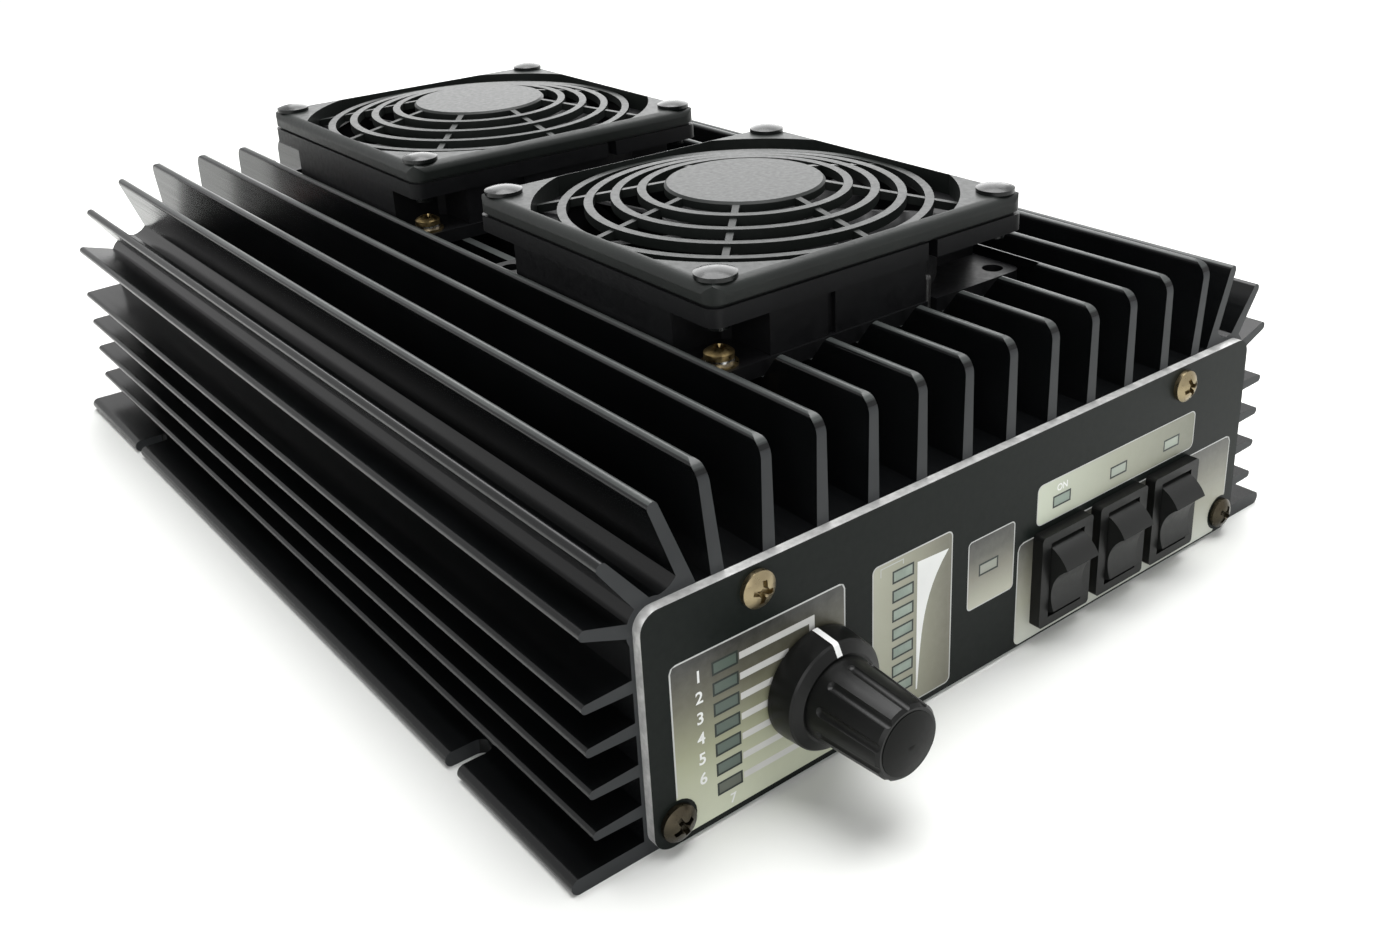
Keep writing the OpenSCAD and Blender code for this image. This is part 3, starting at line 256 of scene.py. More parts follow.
# finishes
def makeFinish(name, look):
    finish = bpy.data.materials.new(name)
    finish.use_nodes = True
    tree = finish.node_tree
    make, link = tree.nodes.new, tree.links.new
    shader = tree.nodes["Principled BSDF"]
    coords = make("ShaderNodeTexCoord")

    def noise(stretch, scale, detail, roughness=0.55):
        spread = make("ShaderNodeMapping")
        spread.inputs["Scale"].default_value = stretch
        link(coords.outputs["Object"], spread.inputs["Vector"])
        cloud = make("ShaderNodeTexNoise")
        cloud.inputs["Scale"].default_value = scale
        cloud.inputs["Detail"].default_value = detail
        cloud.inputs["Roughness"].default_value = roughness
        link(spread.outputs["Vector"], cloud.inputs["Vector"])
        return cloud.outputs["Fac"]

    def blendOf(kind, factor, first, second):
        mix = make("ShaderNodeMix")
        mix.data_type = kind
        a, b = (6, 7) if kind == "RGBA" else (2, 3)
        link(factor, mix.inputs[0])
        for socket, value in ((mix.inputs[a], first), (mix.inputs[b], second)):
            if hasattr(value, "is_linked"):
                link(value, socket)
            elif kind == "RGBA":
                socket.default_value = (*value, 1)
            else:
                socket.default_value = value
        return mix.outputs[2 if kind == "RGBA" else 0]

    def ranged(source, low, high, first, second):
        reach = make("ShaderNodeMapRange")
        for key, value in (("From Min", low), ("From Max", high), ("To Min", first), ("To Max", second)):
            reach.inputs[key].default_value = value
        link(source, reach.inputs["Value"])
        return reach.outputs["Result"]

    stretch = look.get("stretch", (1, 1, 1))
    broad = noise((1, 1, 1), look.get("patch", 60), 3)
    fine = noise(stretch, look.get("grain", 900), 4)
    shade = ranged(broad, 0.3, 0.7, 0, 1)
    color = blendOf("RGBA", shade, look["dark"], look["light"])
    speck = ranged(fine, 0.35, 0.65, 0, 1)
    color = blendOf("RGBA", speck, color, look.get("speck", look["light"])) if "speck" in look else color
    rough = ranged(fine, 0.3, 0.7, look["rough"][0], look["rough"][1])
    metal = None
    if "fade" in look:  # colour by height, from low to high
        apart = make("ShaderNodeSeparateXYZ")
        link(coords.outputs["Object"], apart.inputs["Vector"])
        ramp = make("ShaderNodeValToRGB")
        zones = look["fade"]
        along = apart.outputs[look.get("axis", "Z")]
        link(ranged(along, zones[0][0], zones[-1][0], 0, 1), ramp.inputs["Fac"])
        span = zones[-1][0] - zones[0][0]
        for i, (at, tone) in enumerate(zones):
            stop = ramp.color_ramp.elements[i] if i < 2 else ramp.color_ramp.elements.new(0.5)
            if i == 1 and len(zones) > 2:
                stop.position = 0.5
        for i, (at, tone) in enumerate(zones):
            ramp.color_ramp.elements[i].position = (at - zones[0][0]) / span
            ramp.color_ramp.elements[i].color = (*tone, 1)
        color = blendOf("RGBA", ranged(broad, 0.2, 0.8, 0.0, 0.1), ramp.outputs["Color"], look["light"])
    if "faces" in look:  # another finish where the surface faces along one axis
        normal = make("ShaderNodeSeparateXYZ")
        link(coords.outputs["Normal"], normal.inputs["Vector"])
        size = make("ShaderNodeMath")
        size.operation = "ABSOLUTE"
        link(normal.outputs[look["faces"]["axis"]], size.inputs[0])
        there = ranged(size.outputs[0], 0.9, 0.95, 0, 1)
        other = blendOf("RGBA", shade, look["faces"]["dark"], look["faces"]["light"])
        color = blendOf("RGBA", there, color, other)
        rough = blendOf("FLOAT", there, rough, look["faces"]["rough"])
        if look["faces"].get("metal", 0) != look.get("metal", 0):
            metal = blendOf("FLOAT", there, look.get("metal", 0), look["faces"].get("metal", 0))
    if "tips" in look:  # painted highlight: a lighter colour where the surface faces up, above a height, for the light caught on the fin tips
        tips = look["tips"]
        facing, apart = make("ShaderNodeSeparateXYZ"), make("ShaderNodeSeparateXYZ")
        link(coords.outputs["Normal"], facing.inputs["Vector"])
        link(coords.outputs["Object"], apart.inputs["Vector"])
        both = make("ShaderNodeMath")
        both.operation = "MULTIPLY"
        link(ranged(facing.outputs["Z"], tips["facing"], tips["facing"] + 0.1, 0, 1), both.inputs[0])
        link(ranged(apart.outputs["Z"], tips["above"], tips["above"] + 0.002, 0, 1), both.inputs[1])
        color = blendOf("RGBA", both.outputs[0], color, blendOf("RGBA", shade, tips["dark"], tips["light"]))
        rough = blendOf("FLOAT", both.outputs[0], rough, tips["rough"])
    link(color, shader.inputs["Base Color"])
    link(rough, shader.inputs["Roughness"])
    if metal is not None:
        link(metal, shader.inputs["Metallic"])
    else:
        shader.inputs["Metallic"].default_value = look.get("metal", 0)
    shader.inputs["Specular IOR Level"].default_value = look.get("specular", 0.5)
    shader.inputs["Coat Weight"].default_value = look.get("coat", 0)
    shader.inputs["Coat Roughness"].default_value = look.get("coatRough", 0.1)
    shader.inputs["Subsurface Weight"].default_value = look.get("soft", 0)
    bump = make("ShaderNodeBump")
    bump.inputs["Strength"].default_value = look.get("bump", 0.3)
    bump.inputs["Distance"].default_value = look.get("depth", 0.00005)
    relief = noise(look.get("reliefStretch", stretch), look.get("relief", 1800), 3)
    link(relief, bump.inputs["Height"])
    link(bump.outputs["Normal"], shader.inputs["Normal"])
    return finish


looks = {
    "anodised": {"dark": (0.0022, 0.0025, 0.0027), "light": (0.004, 0.0044, 0.0047), "rough": (0.18, 0.26),
                 "stretch": (1, 0.02, 1), "grain": 1500, "relief": 2600, "bump": 0.08, "depth": 0.00002,
                 "specular": 0.27,
                 # the fin tips get a painted highlight: a lighter colour where they face up
                 "tips": {"facing": 0.6, "above": 0.056, "dark": (0.03, 0.033, 0.033),
                          "light": (0.05, 0.055, 0.053), "rough": 0.28},
                 "faces": {"axis": "Y", "dark": (0.016, 0.018, 0.02), "light": (0.026, 0.028, 0.03),
                           "rough": 0.5}},
    "panel": {"dark": (0.6, 0.6, 0.59), "light": (0.82, 0.82, 0.81), "rough": (0.34, 0.42), "metal": 0.6,
              "patch": 700, "stretch": (0.04, 1, 0.04), "grain": 3000, "relief": 3000, "bump": 0.05,
              "depth": 0.00006, "specular": 0.08,
              "faces": {"axis": "Y", "dark": (0.0062, 0.0084, 0.0075), "light": (0.0088, 0.0114, 0.0102),
                        "rough": 0.34}},
    "rearPlate": {"dark": (0.008, 0.008, 0.008), "light": (0.013, 0.013, 0.013), "rough": (0.36, 0.5)},
    "cover": {"dark": (0.5, 0.51, 0.52), "light": (0.62, 0.63, 0.64), "rough": (0.28, 0.42), "metal": 1,
              "stretch": (1, 0.03, 1), "grain": 1200},
    "brass": {"dark": (0.12, 0.085, 0.035), "light": (0.33, 0.25, 0.12), "rough": (0.26, 0.5), "metal": 1,
              "patch": 700, "grain": 1500, "bump": 0.5, "depth": 0.00008},
    # the panel screws' brass with painted shade and light: dark at the bottom, light at the top
    "brassShadedByHeight": {"dark": (0.02, 0.017, 0.012), "light": (0.2, 0.15, 0.08), "rough": (0.24, 0.42), "metal": 1,
               "patch": 700, "grain": 1500, "bump": 0.4, "depth": 0.00006,
               "fade": [(0.006, (0.045, 0.04, 0.03)), (0.03, (0.2, 0.16, 0.1)), (0.04, (0.28, 0.23, 0.14))]},
    "steel": {"dark": (0.5, 0.5, 0.5), "light": (0.68, 0.68, 0.67), "rough": (0.2, 0.34), "metal": 1},
    "nickel": {"dark": (0.42, 0.41, 0.385), "light": (0.56, 0.55, 0.52), "rough": (0.16, 0.28), "metal": 1,
               "grain": 1200},
    "knob": {"dark": (0.0018, 0.002, 0.0018), "light": (0.0026, 0.0028, 0.0026), "rough": (0.3, 0.36),
             "specular": 0.22, "relief": 2400, "bump": 0.1, "depth": 0.00002},
    "cap": {"dark": (0.0035, 0.0038, 0.0035), "light": (0.0046, 0.005, 0.0046), "rough": (0.4, 0.48),
            "specular": 0.1, "relief": 2400, "bump": 0.1, "depth": 0.00002},
    "switch": {"dark": (0.0035, 0.0037, 0.0035), "light": (0.005, 0.0053, 0.005), "rough": (0.36, 0.44),
               "specular": 0.22, "relief": 3000, "bump": 0.2, "depth": 0.00003},
    "rocker": {"dark": (0.008, 0.0085, 0.008), "light": (0.0105, 0.011, 0.0105), "rough": (0.38, 0.46),
               "specular": 0.26, "relief": 3200, "bump": 0.2, "depth": 0.00003},
    "window": {"dark": (0.08, 0.1, 0.085), "light": (0.13, 0.155, 0.135), "rough": (0.3, 0.4), "soft": 0.05,
               "patch": 240, "fade": [(0.007, (0.1, 0.108, 0.085)), (0.0109, (0.095, 0.125, 0.105)),
                                      (0.0304, (0.07, 0.098, 0.078))]},
    "windowPale": {"dark": (0.2, 0.25, 0.205), "light": (0.32, 0.37, 0.31), "rough": (0.3, 0.4), "soft": 0.1,
                   "patch": 240},
    "windowStatus": {"dark": (0.2, 0.25, 0.205), "light": (0.35, 0.38, 0.33), "rough": (0.3, 0.4),
                     "soft": 0.1, "patch": 240, "axis": "X",
                     "fade": [(-0.0014, (0.3, 0.3, 0.25)), (0.012, (0.24, 0.3, 0.245)),
                              (0.024, (0.24, 0.3, 0.245)), (0.036, (0.36, 0.39, 0.32))]},
    "board": {"dark": (0.015, 0.1, 0.04), "light": (0.02, 0.13, 0.05), "rough": (0.3, 0.45), "patch": 200,
              "grain": 700},
    "package": {"dark": (0.012, 0.012, 0.012), "light": (0.02, 0.02, 0.02), "rough": (0.5, 0.65)},
    "ferrite": {"dark": (0.03, 0.03, 0.032), "light": (0.05, 0.05, 0.052), "rough": (0.5, 0.7)},
    "winding": {"dark": (0.3, 0.1, 0.03), "light": (0.45, 0.17, 0.05), "rough": (0.25, 0.4), "metal": 0.6},
    "relay": {"dark": (0.02, 0.08, 0.24), "light": (0.03, 0.1, 0.28), "rough": (0.3, 0.4)},
    "sleeve": {"dark": (0.012, 0.014, 0.06), "light": (0.02, 0.022, 0.08), "rough": (0.2, 0.35)},
    "ribbon": {"dark": (0.25, 0.25, 0.26), "light": (0.32, 0.32, 0.33), "rough": (0.4, 0.55),
               "grain": 600},
    "fan": {"dark": (0.004, 0.004, 0.0046), "light": (0.0065, 0.0068, 0.0075), "rough": (0.36, 0.5),
            "specular": 0.18, "relief": 2200, "bump": 0.2, "depth": 0.00003},
    "guard": {"dark": (0.007, 0.0085, 0.0078), "light": (0.011, 0.0135, 0.0122), "rough": (0.36, 0.46),
              "relief": 1800, "bump": 0.2, "depth": 0.00003, "specular": 0.25},
    "rivet": {"dark": (0.005, 0.006, 0.006), "light": (0.008, 0.0095, 0.009), "rough": (0.18, 0.26),
              "specular": 0.3},
    "insulator": {"dark": (0.7, 0.66, 0.56), "light": (0.78, 0.74, 0.65), "rough": (0.4, 0.5), "soft": 0.1},
    "rubber": {"dark": (0.012, 0.012, 0.012), "light": (0.02, 0.02, 0.02), "rough": (0.6, 0.75)},
    "red": {"dark": (0.42, 0.012, 0.01), "light": (0.55, 0.02, 0.016), "rough": (0.3, 0.42), "patch": 120},
    "blackFlex": {"dark": (0.012, 0.012, 0.012), "light": (0.02, 0.02, 0.02), "rough": (0.32, 0.45),
                  "patch": 120},
    "tie": {"dark": (0.6, 0.55, 0.4), "light": (0.7, 0.65, 0.5), "rough": (0.35, 0.5), "soft": 0.15},
    "tinned": {"dark": (0.55, 0.55, 0.53), "light": (0.75, 0.75, 0.72), "rough": (0.25, 0.4), "metal": 1},
    "whiteInk": {"dark": (0.72, 0.73, 0.72), "light": (0.82, 0.83, 0.82), "rough": (0.35, 0.5)},
    "paleInk": {"dark": (0.42, 0.43, 0.42), "light": (0.55, 0.56, 0.55), "rough": (0.3, 0.45)},
    "barInk": {"dark": (0.5, 0.5, 0.48), "light": (0.62, 0.62, 0.6), "rough": (0.35, 0.5)},
    "lineInk": {"dark": (0.006, 0.012, 0.009), "light": (0.01, 0.018, 0.014), "rough": (0.35, 0.5)},
    "bandFill": {"dark": (0.1, 0.1, 0.09), "light": (0.38, 0.38, 0.34), "rough": (0.3, 0.42), "patch": 500,
                 "fade": [(0.002, (0.6, 0.63, 0.49)), (0.0165, (0.3, 0.31, 0.2)),
                          (0.026, (0.1, 0.095, 0.062)), (0.0335, (0.01, 0.01, 0.009))]},
    "outputFill": {"dark": (0.2, 0.2, 0.18), "light": (0.4, 0.4, 0.35), "rough": (0.3, 0.42), "patch": 500,
                   "axis": "X", "fade": [(-0.031, (0.4, 0.405, 0.315)), (-0.021, (0.27, 0.27, 0.2)),
                                         (-0.0125, (0.13, 0.125, 0.088))]},
    "smallFill": {"dark": (0.2, 0.2, 0.18), "light": (0.4, 0.4, 0.35), "rough": (0.3, 0.42), "patch": 500,
                  "fade": [(0.0152, (0.44, 0.44, 0.36)), (0.0215, (0.2, 0.195, 0.155)),
                           (0.026, (0.06, 0.06, 0.05)), (0.0292, (0.02, 0.02, 0.018))]},
    "stripFill": {"dark": (0.2, 0.2, 0.18), "light": (0.4, 0.4, 0.35), "rough": (0.3, 0.42), "patch": 500,
                  "axis": "X", "fade": [(0.012, (0.54, 0.58, 0.47)), (0.036, (0.32, 0.33, 0.255)),
                                        (0.061, (0.15, 0.155, 0.11))]},
    "switchFill": {"dark": (0.2, 0.2, 0.18), "light": (0.4, 0.4, 0.35), "rough": (0.3, 0.42), "patch": 500,
                   "fade": [(0.0015, (0.6, 0.62, 0.56)), (0.01, (0.33, 0.33, 0.265)),
                            (0.018, (0.13, 0.128, 0.1)), (0.0235, (0.03, 0.03, 0.026))]},
}
finishes = {name: makeFinish(name, look) for name, look in looks.items()}

nodeFinish = {
    "heat_sink": "anodised", "bottom_cover": "cover", "cover_screws": "steel", "front_panel": "panel",
    "front_panel_screws": "brassShadedByHeight", "rear_panel": "rearPlate", "rear_panel_screws": "brass",
    "band_knob": "knob", "knob_cap": "cap", "selector_shaft": "steel", "selector_switch": "package",
    "selector_nut": "steel", "front_switch_a": "switch", "front_switch_b": "switch",
    "front_switch_c": "switch", "rocker_a": "rocker", "rocker_b": "rocker", "rocker_c": "rocker",
    "band_lights": "window", "output_lights": "windowPale", "status_lights": "windowStatus",
    "front_board": "board",
    "main_board": "board", "board_pillars": "brass", "board_screws": "steel", "ribbon_cable": "ribbon",
    "power_transistors": "package", "transistor_screws": "steel", "transformers": "ferrite",
    "filter_coils": "winding", "relays": "relay", "capacitors": "sleeve", "front_fan_frame": "fan",
    "rear_fan_frame": "fan", "front_fan_rotor": "fan", "rear_fan_rotor": "fan", "fan_stators": "winding",
    "front_fan_guard": "guard", "rear_fan_guard": "guard", "guard_rivets": "rivet", "fan_screws": "brass",
    "fan_washers": "brass", "spring_washers": "steel", "fan_leads": "blackFlex",
    "output_socket": "nickel", "input_socket": "nickel",
    "socket_insulators": "insulator", "socket_contacts": "brass", "socket_screws": "steel",
    "lead_grommet": "rubber", "supply_tails": "red", "supply_lead": "red", "supply_coil": "red",
    "coil_ties": "tie", "lead_ends": "tinned",
}
for name, node in nodes.items():
    finish = finishes[nodeFinish[name]]
    if not node.data.materials:
        node.data.materials.append(finish)
    for index in range(len(node.data.materials)):
        node.data.materials[index] = finish
for name in ("red", "blackFlex"):
    lead.data.materials.append(finishes[name])
for name in ("red", "blackFlex", "tinned"):
    leadEnds.data.materials.append(finishes[name])
print("finishes made:", len(finishes))


# threads on the coaxial sockets
threadSettings = {"radius": 7.9, "height": 0.32, "pitch": 1.058, "start": 248.9, "turns": 10.8,
                  "steps": 48, "z": 22,
                  "sockets": (("input", 12), ("output", 50))}


def makeThread(s, name, x):
    count = int(s["turns"] * s["steps"])
    low, half = s["radius"] - 0.1, s["pitch"] * 0.42
    points, faces = [], []
    for i in range(count + 1):
        turn = 2 * math.pi * i / s["steps"]
        ends = min(1, i / 12, (count - i) / 12)  # the ridge runs out at both ends
        along = s["start"] + s["pitch"] * i / s["steps"]
        crest = low + 0.1 + s["height"] * ends
        for reach, shift in ((low, -half), (crest, -0.07), (crest, 0.07),
                             (low, half)):
            points.append(place(x + reach * math.cos(turn), along + shift, s["z"] + reach * math.sin(turn)))
    for i in range(count):
        for k in range(3):
            a = i * 4 + k
            faces.append((a, a + 4, a + 5, a + 1))
    faces += [(0, 1, 2, 3), tuple(count * 4 + k for k in (3, 2, 1, 0))]
    mesh = meshOf(name + "Thread", points, faces)
    bm = bmesh.new()
    bm.from_mesh(mesh)
    bmesh.ops.recalc_face_normals(bm, faces=bm.faces)
    bm.to_mesh(mesh)
    bm.free()
    piece = newPiece(name + "Thread", mesh, "case", finishes["nickel"])
    smoothByAngle(piece)


for name, x in threadSettings["sockets"]:
    makeThread(threadSettings, name, x)
print("threads made")


# the print on the front panel
def roundBox(x0, z0, x1, z1, r, steps=6):
    loop = []
    corners = ((x1 - r, z1 - r, 0), (x0 + r, z1 - r, 90), (x0 + r, z0 + r, 180), (x1 - r, z0 + r, 270))
    for cx, cz, turn in corners:
        for k in range(steps + 1):
            a = math.radians(turn + 90 * k / steps)
            loop.append((cx + r * math.cos(a), cz + r * math.sin(a)))
    return loop


def circleLoop(cx, cz, r, count=40):
    return [(cx + r * math.cos(2 * math.pi * k / count), cz + r * math.sin(2 * math.pi * k / count))
            for k in range(count)]


def printed(name, loops, layer, finish):
    bm = bmesh.new()
    depth = panelFace - 0.012 * layer
    edges = []
    for loop in loops:
        ring = [bm.verts.new(place(x, depth, z)) for x, z in loop]
        edges += [bm.edges.new((a, b)) for a, b in zip(ring, ring[1:] + ring[:1])]
    bmesh.ops.triangle_fill(bm, edges=edges, use_beauty=True)
    for face in bm.faces:
        if face.normal.y > 0:
            face.normal_flip()
    mesh = bpy.data.meshes.new(name)
    bm.to_mesh(mesh)
    bm.free()
    return newPiece(name, mesh, "case", finishes[finish])


def inset(loop, by):
    middle = Vector((sum(p[0] for p in loop) / len(loop), sum(p[1] for p in loop) / len(loop)))
    made = []
    n = len(loop)
    for i in range(n):
        before, here, after = Vector(loop[i - 1]), Vector(loop[i]), Vector(loop[(i + 1) % n])
        way = (after - before).normalized()
        side = Vector((-way.y, way.x))
        if side.dot(middle - here) < 0:
            side = -side
        made.append(tuple(here + side * by))
    return made


lights = {"w": 5, "h": 2.3, "tops": [30.4 - 3.9 * i for i in range(7)], "bandX": -63.1, "outputX": -23.6,
          "status": [(-1.4, 22.7), (19.0, 29.2), (36.35, 29.2), (53.7, 29.2)], "line": 0.32}


def windowLoop(x, z, grow=0.06):
    w, h = lights["w"] / 2 + grow, lights["h"] / 2 + grow
    return [(x - w, z - h), (x + w, z - h), (x + w, z + h), (x - w, z + h)]


bandSettings = {"left": -73.9, "right": -37.3, "top": 34.5, "bottom": 1.9, "corner": 1.3, "line": 0.3,
                "knob": (-44.8, 18.4), "bar": 1.3}


def makeBandPrint(s):
    cornerArc = [(-74 + 4.0 * math.cos(math.radians(a)), 5.4 + 4.0 * math.sin(math.radians(a)))
                 for a in range(88, -62, -15)]
    outline = roundBox(s["left"], s["bottom"], s["right"], s["top"], s["corner"])
    kept = [p for p in outline if not (p[0] < -72 and p[1] < 9)]
    cut = kept[:14] + [(s["left"], 9.6)] + cornerArc + [(-71.4, s["bottom"])] + kept[14:]
    windows = [windowLoop(lights["bandX"], z) for z in lights["tops"]]
    hole = circleLoop(s["knob"][0], s["knob"][1], 6.8)
    printed("bandFill", [cut, hole] + windows, 1, "bandFill")
    t = s["line"]
    line = [(s["left"], 9.8), (s["left"], 33.2), (s["left"] + 0.4, 34.1), (s["left"] + 1.3, 34.5),
            (s["right"] - 1.3, 34.5), (s["right"] - 0.4, 34.1), (s["right"], 33.2), (s["right"], 8)]
    inner = [(x + (t if x < -60 else -t), min(z, 34.5 - t)) for x, z in line]
    printed("bandLine", [line + inner[::-1]], 2, "paleInk")
    kx, kz = s["knob"]
    for i, z in enumerate(lights["tops"]):
        half = s["bar"] / 2
        x0 = lights["bandX"] + lights["w"] / 2 + 0.4
        if i == 0:  # the top bar turns down to the pointer
            bar = [(x0, z - half), (-45.4, z - half), (-45.4, 28.3), (-44.2, 28.3),
                   (-44.2, z + half), (x0, z + half)]
        else:
            reach = math.sqrt(max(9.6 ** 2 - (z - kz) ** 2, 0))
            x1 = kx - reach if abs(z - kz) < 9.6 else kx + 1
            bar = [(x0, z - half), (x1, z - half), (x1, z + half), (x0, z + half)]
        printed(f"bandBar{i + 1}", [bar], 2, "barInk")


makeBandPrint(bandSettings)

outputSettings = {"box": (-31, 2, -11.2, 34.2), "corner": 1.3, "line": 0.26,
                  "wedge": {"x": -20, "low": 4.4, "high": 30.75, "tip": 7.8}}


def makeOutputPrint(s):
    outer = roundBox(*s["box"], s["corner"])
    windows = [windowLoop(lights["outputX"], z) for z in lights["tops"]]
    printed("outputFill", [outer] + windows, 1, "outputFill")
    printed("outputLine", [outer, inset(outer, s["line"])], 2, "paleInk")
    w = s["wedge"]
    wedge = [(w["x"] - 0.1, w["low"])]
    for k in range(15):
        t = k / 14
        out = 0.24 + (w["tip"] - 0.24) * (0.23 * t + 0.77 * t ** 4)
        wedge.append((w["x"] + out, w["low"] + (w["high"] - w["low"]) * t))
    wedge += [(w["x"] - 0.1, w["high"] + 0.4)]
    printed("outputWedge", [wedge], 2, "whiteInk")
    bracket = [(-28.9, 31.6), (-28.9, 33.1), (-23.7, 33.1), (-23.7, 32.3), (-23.5, 32.3), (-23.5, 33.3),
               (-29.1, 33.3), (-29.1, 31.6)]
    printed("outputBracket", [bracket], 2, "paleInk")


makeOutputPrint(outputSettings)

boxSettings = {"small": (-7, 15, 5.7, 29.6), "strip": (11.8, 25.5, 61.5, 34.2),
               "switch": (6.75, 1.2, 75.6, 23.8)}


def makeBoxPrints(s):
    small = roundBox(*s["small"], 1)
    printed("smallFill", [small, windowLoop(*lights["status"][0])], 1, "smallFill")
    printed("smallLine", [small, inset(small, 0.24)], 2, "paleInk")
    strip = roundBox(*s["strip"], 1.4)
    printed("stripFill", [strip] + [windowLoop(x, z) for x, z in lights["status"][1:]], 1, "stripFill")
    printed("stripLine", [strip, inset(strip, 0.2)], 2, "paleInk")
    x0, z0, x1, z1 = s["switch"]
    outer = roundBox(x0, z0, x1, z1, 1.6)
    cornerArc = [(74 + 4.0 * math.cos(math.radians(a)), 5.4 + 4.0 * math.sin(math.radians(a)))
                 for a in range(250, 60, -14)]
    kept = [p for p in outer if not (p[0] > 71.5 and p[1] < 9)]
    cut = kept + [(72.3, z0)] + cornerArc + [(x1, 9.4)]
    holes = [roundBox(x - 6.6, 5.2, x + 6.6, 23.2, 0.5) for x in (18.6, 35.95, 53.3)]
    printed("switchFill", [cut] + holes, 1, "switchFill")
    t = 0.26
    line = [(x1, 9.6), (x1, z1 - 1.6), (x1 - 0.5, z1 - 0.5), (x1 - 1.6, z1), (x0 + 1.6, z1),
            (x0 + 0.5, z1 - 0.5), (x0, z1 - 1.6), (x0, 3)]
    inner = [(x + (t if x < 30 else -t), min(z, z1 - t)) for x, z in line]
    printed("switchLine", [line + inner[::-1]], 2, "paleInk")


makeBoxPrints(boxSettings)

spots = [(lights["bandX"], z) for z in lights["tops"]] + [(lights["outputX"], z) for z in lights["tops"]]
for index, (x, z) in enumerate(spots + lights["status"]):
    printed(f"windowLine{index + 1}", [windowLoop(x, z, 0.14), windowLoop(x, z, -0.24)], 3, "lineInk")
print("panel print made")

labelSettings = {"size": 3.1, "x": -68.4, "last": (-62.6, 3.7), "onSize": 2, "on": (19, 31.9)}


def label(name, text, x, z, size):
    curve = bpy.data.curves.new(name, "FONT")
    curve.body = text
    curve.size = size / 1000
    curve.align_x, curve.align_y = "CENTER", "CENTER"
    curve.offset = size * 0.00002
    holder = bpy.data.objects.new(name + "Text", curve)
    scene.collection.objects.link(holder)
    bpy.context.view_layer.update()
    mesh = bpy.data.meshes.new_from_object(holder.evaluated_get(bpy.context.evaluated_depsgraph_get()))
    bpy.data.objects.remove(holder)
    mesh.transform(Matrix.Translation(place(x, panelFace - 0.03, z)) @ Matrix.Rotation(math.pi / 2, 4, "X"))
    mesh.name = name
    return newPiece(name, mesh, "case", finishes["whiteInk"])


for index, z in enumerate(lights["tops"]):
    x, z = (labelSettings["x"], z - 0.2) if index < 6 else labelSettings["last"]
    label(f"bandNumber{index + 1}", str(index + 1), x, z, labelSettings["size"] if index < 6 else 2.6)
label("onMark", "ON", *labelSettings["on"], labelSettings["onSize"])
print("labels made")

# the white pointer on the knob
pointerSettings = {"axis": (-44.8, 18.4), "width": 1.15, "lift": 0.05,
                   "profile": [(10.4, 0.05), (10.4, 0.8), (10.1, 4.9), (9.8, 5.3), (8.1, 6.2)]}


def makePointer(s):
    points, faces = [], []
    steps = 6
    for r, depth in s["profile"]:
        for k in range(steps + 1):
            side = s["width"] * (k / steps - 0.5)
            a = math.asin(side / r)
            points.append(place(s["axis"][0] + (r + s["lift"]) * math.sin(a), -2.6 - depth - s["lift"] * 0.6,
                                s["axis"][1] + (r + s["lift"]) * math.cos(a)))
    for i in range(len(s["profile"]) - 1):
        for k in range(steps):
            a = i * (steps + 1) + k
            faces.append((a, a + 1, a + steps + 2, a + steps + 1))
    mesh = meshOf("pointer", points, faces)
    return newPiece("pointer", mesh, "knob", finishes["whiteInk"])


makePointer(pointerSettings)
print("pointer made")

# floor, light
stageSettings = {"floor": (0.84, 0.85, 0.83), "near": 0.5, "far": 1.1,
                 "key": 34, "fill": 9, "back": 12, "world": 0.3, "seen": 1.0}


def whiteRays(tree):  # 1 for the camera, glossy and transmission rays, else 0
    path = tree.nodes.new("ShaderNodeLightPath")
    white = path.outputs["Is Camera Ray"]
    for kind in ("Is Glossy Ray", "Is Transmission Ray"):
        either = tree.nodes.new("ShaderNodeMath")
        either.operation = "MAXIMUM"
        tree.links.new(white, either.inputs[0])
        tree.links.new(path.outputs[kind], either.inputs[1])
        white = either.outputs[0]
    return white


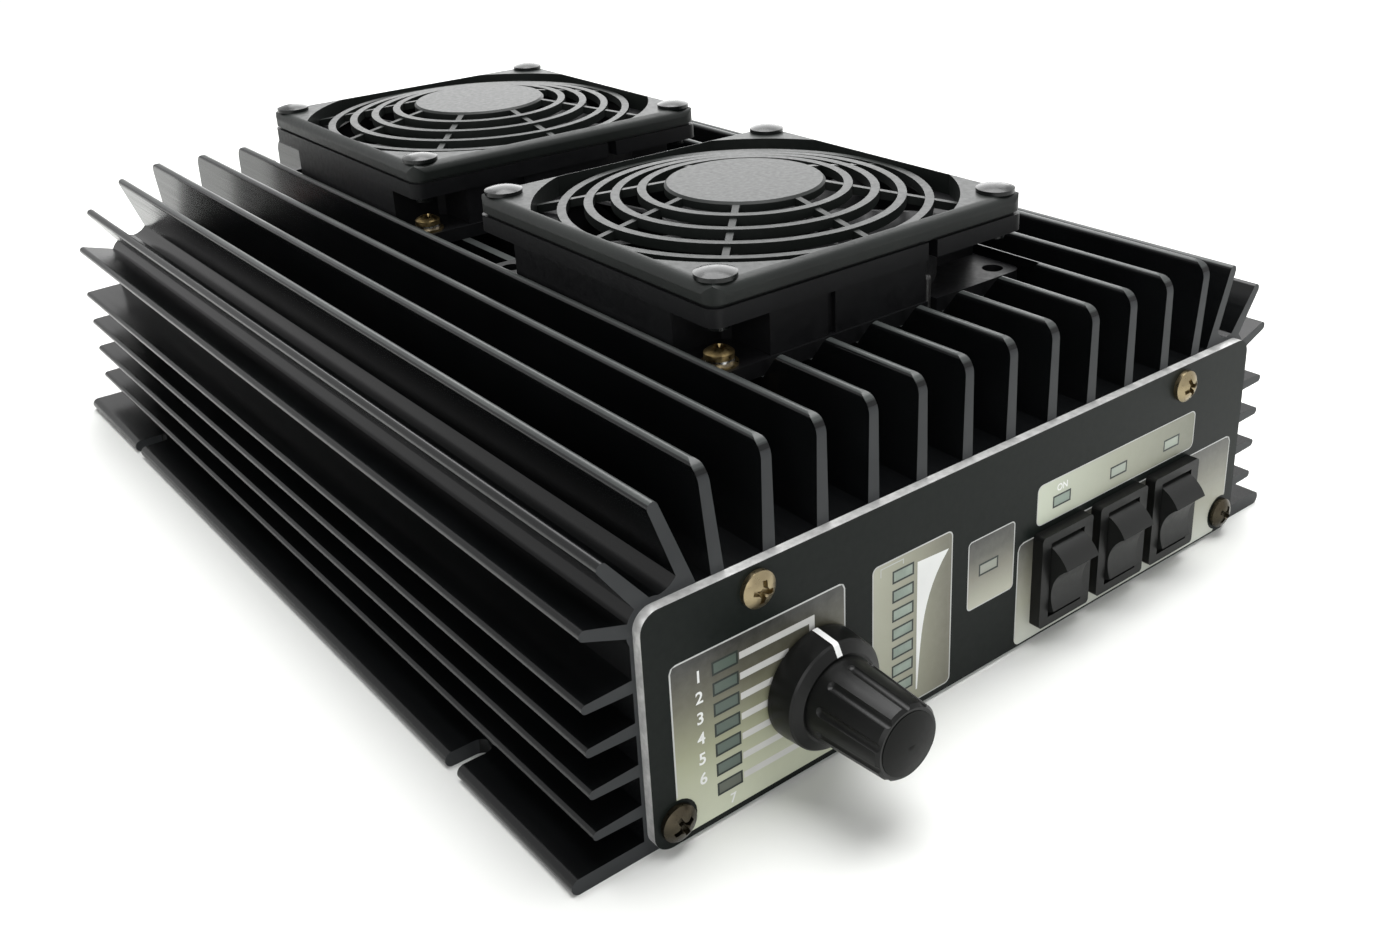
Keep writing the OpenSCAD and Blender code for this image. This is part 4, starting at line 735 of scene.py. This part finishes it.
def fadeToWhite(paper, near, far):  # the floor runs into the white ground away from the object
    tree = paper.node_tree
    make, link = tree.nodes.new, tree.links.new
    reach = make("ShaderNodeVectorMath")
    reach.operation = "LENGTH"
    link(make("ShaderNodeTexCoord").outputs["Object"], reach.inputs[0])
    away = make("ShaderNodeMapRange")
    away.inputs["From Min"].default_value = near
    away.inputs["From Max"].default_value = far
    link(reach.outputs["Value"], away.inputs["Value"])
    both = make("ShaderNodeMath")
    both.operation = "MULTIPLY"
    link(away.outputs["Result"], both.inputs[0])
    link(whiteRays(tree), both.inputs[1])
    glow = make("ShaderNodeEmission")
    mix = make("ShaderNodeMixShader")
    link(both.outputs[0], mix.inputs[0])
    link(tree.nodes["Principled BSDF"].outputs[0], mix.inputs[1])
    link(glow.outputs[0], mix.inputs[2])
    link(mix.outputs[0], tree.nodes["Material Output"].inputs["Surface"])


def makeStage(s):
    mesh = meshOf("floor", [(-4, -4, 0), (4, -4, 0), (4, 4, 0), (-4, 4, 0)], [(0, 1, 2, 3)])
    floor = bpy.data.objects.new("floor", mesh)
    scene.collection.objects.link(floor)
    tone = tuple(c * 0.985 for c in s["floor"])
    paper = makeFinish("floorPaper", {"dark": tone, "light": s["floor"], "rough": (0.7, 0.8), "patch": 3,
                                      "bump": 0.02, "specular": 0.2})
    fadeToWhite(paper, s["near"], s["far"])
    mesh.materials.append(paper)
    for name, spot, size, power in (("key", (0.25, 0.15, 1.25), 1.3, s["key"]),
                                    ("fill", (-1.1, -1.2, 0.9), 1.2, s["fill"]),
                                    ("back", (1.0, 1.25, 0.72), 1.3, s["back"])):
        data = bpy.data.lights.new(name, "AREA")
        data.size = size
        data.energy = power
        lamp = bpy.data.objects.new(name, data)
        scene.collection.objects.link(lamp)
        lamp.location = spot
        lamp.rotation_euler = (Vector((0, 0, 0.03)) - Vector(spot)).to_track_quat("-Z", "Y").to_euler()
    world = bpy.data.worlds.new("world")
    scene.world = world
    world.use_nodes = True
    tree = world.node_tree
    ground = tree.nodes["Background"]
    mix = tree.nodes.new("ShaderNodeMix")
    mix.data_type = "RGBA"
    mix.inputs[6].default_value = (s["world"],) * 3 + (1,)
    mix.inputs[7].default_value = (s["seen"],) * 3 + (1,)
    tree.links.new(whiteRays(tree), mix.inputs[0])
    tree.links.new(mix.outputs[2], ground.inputs["Color"])


makeStage(stageSettings)
print("stage made")
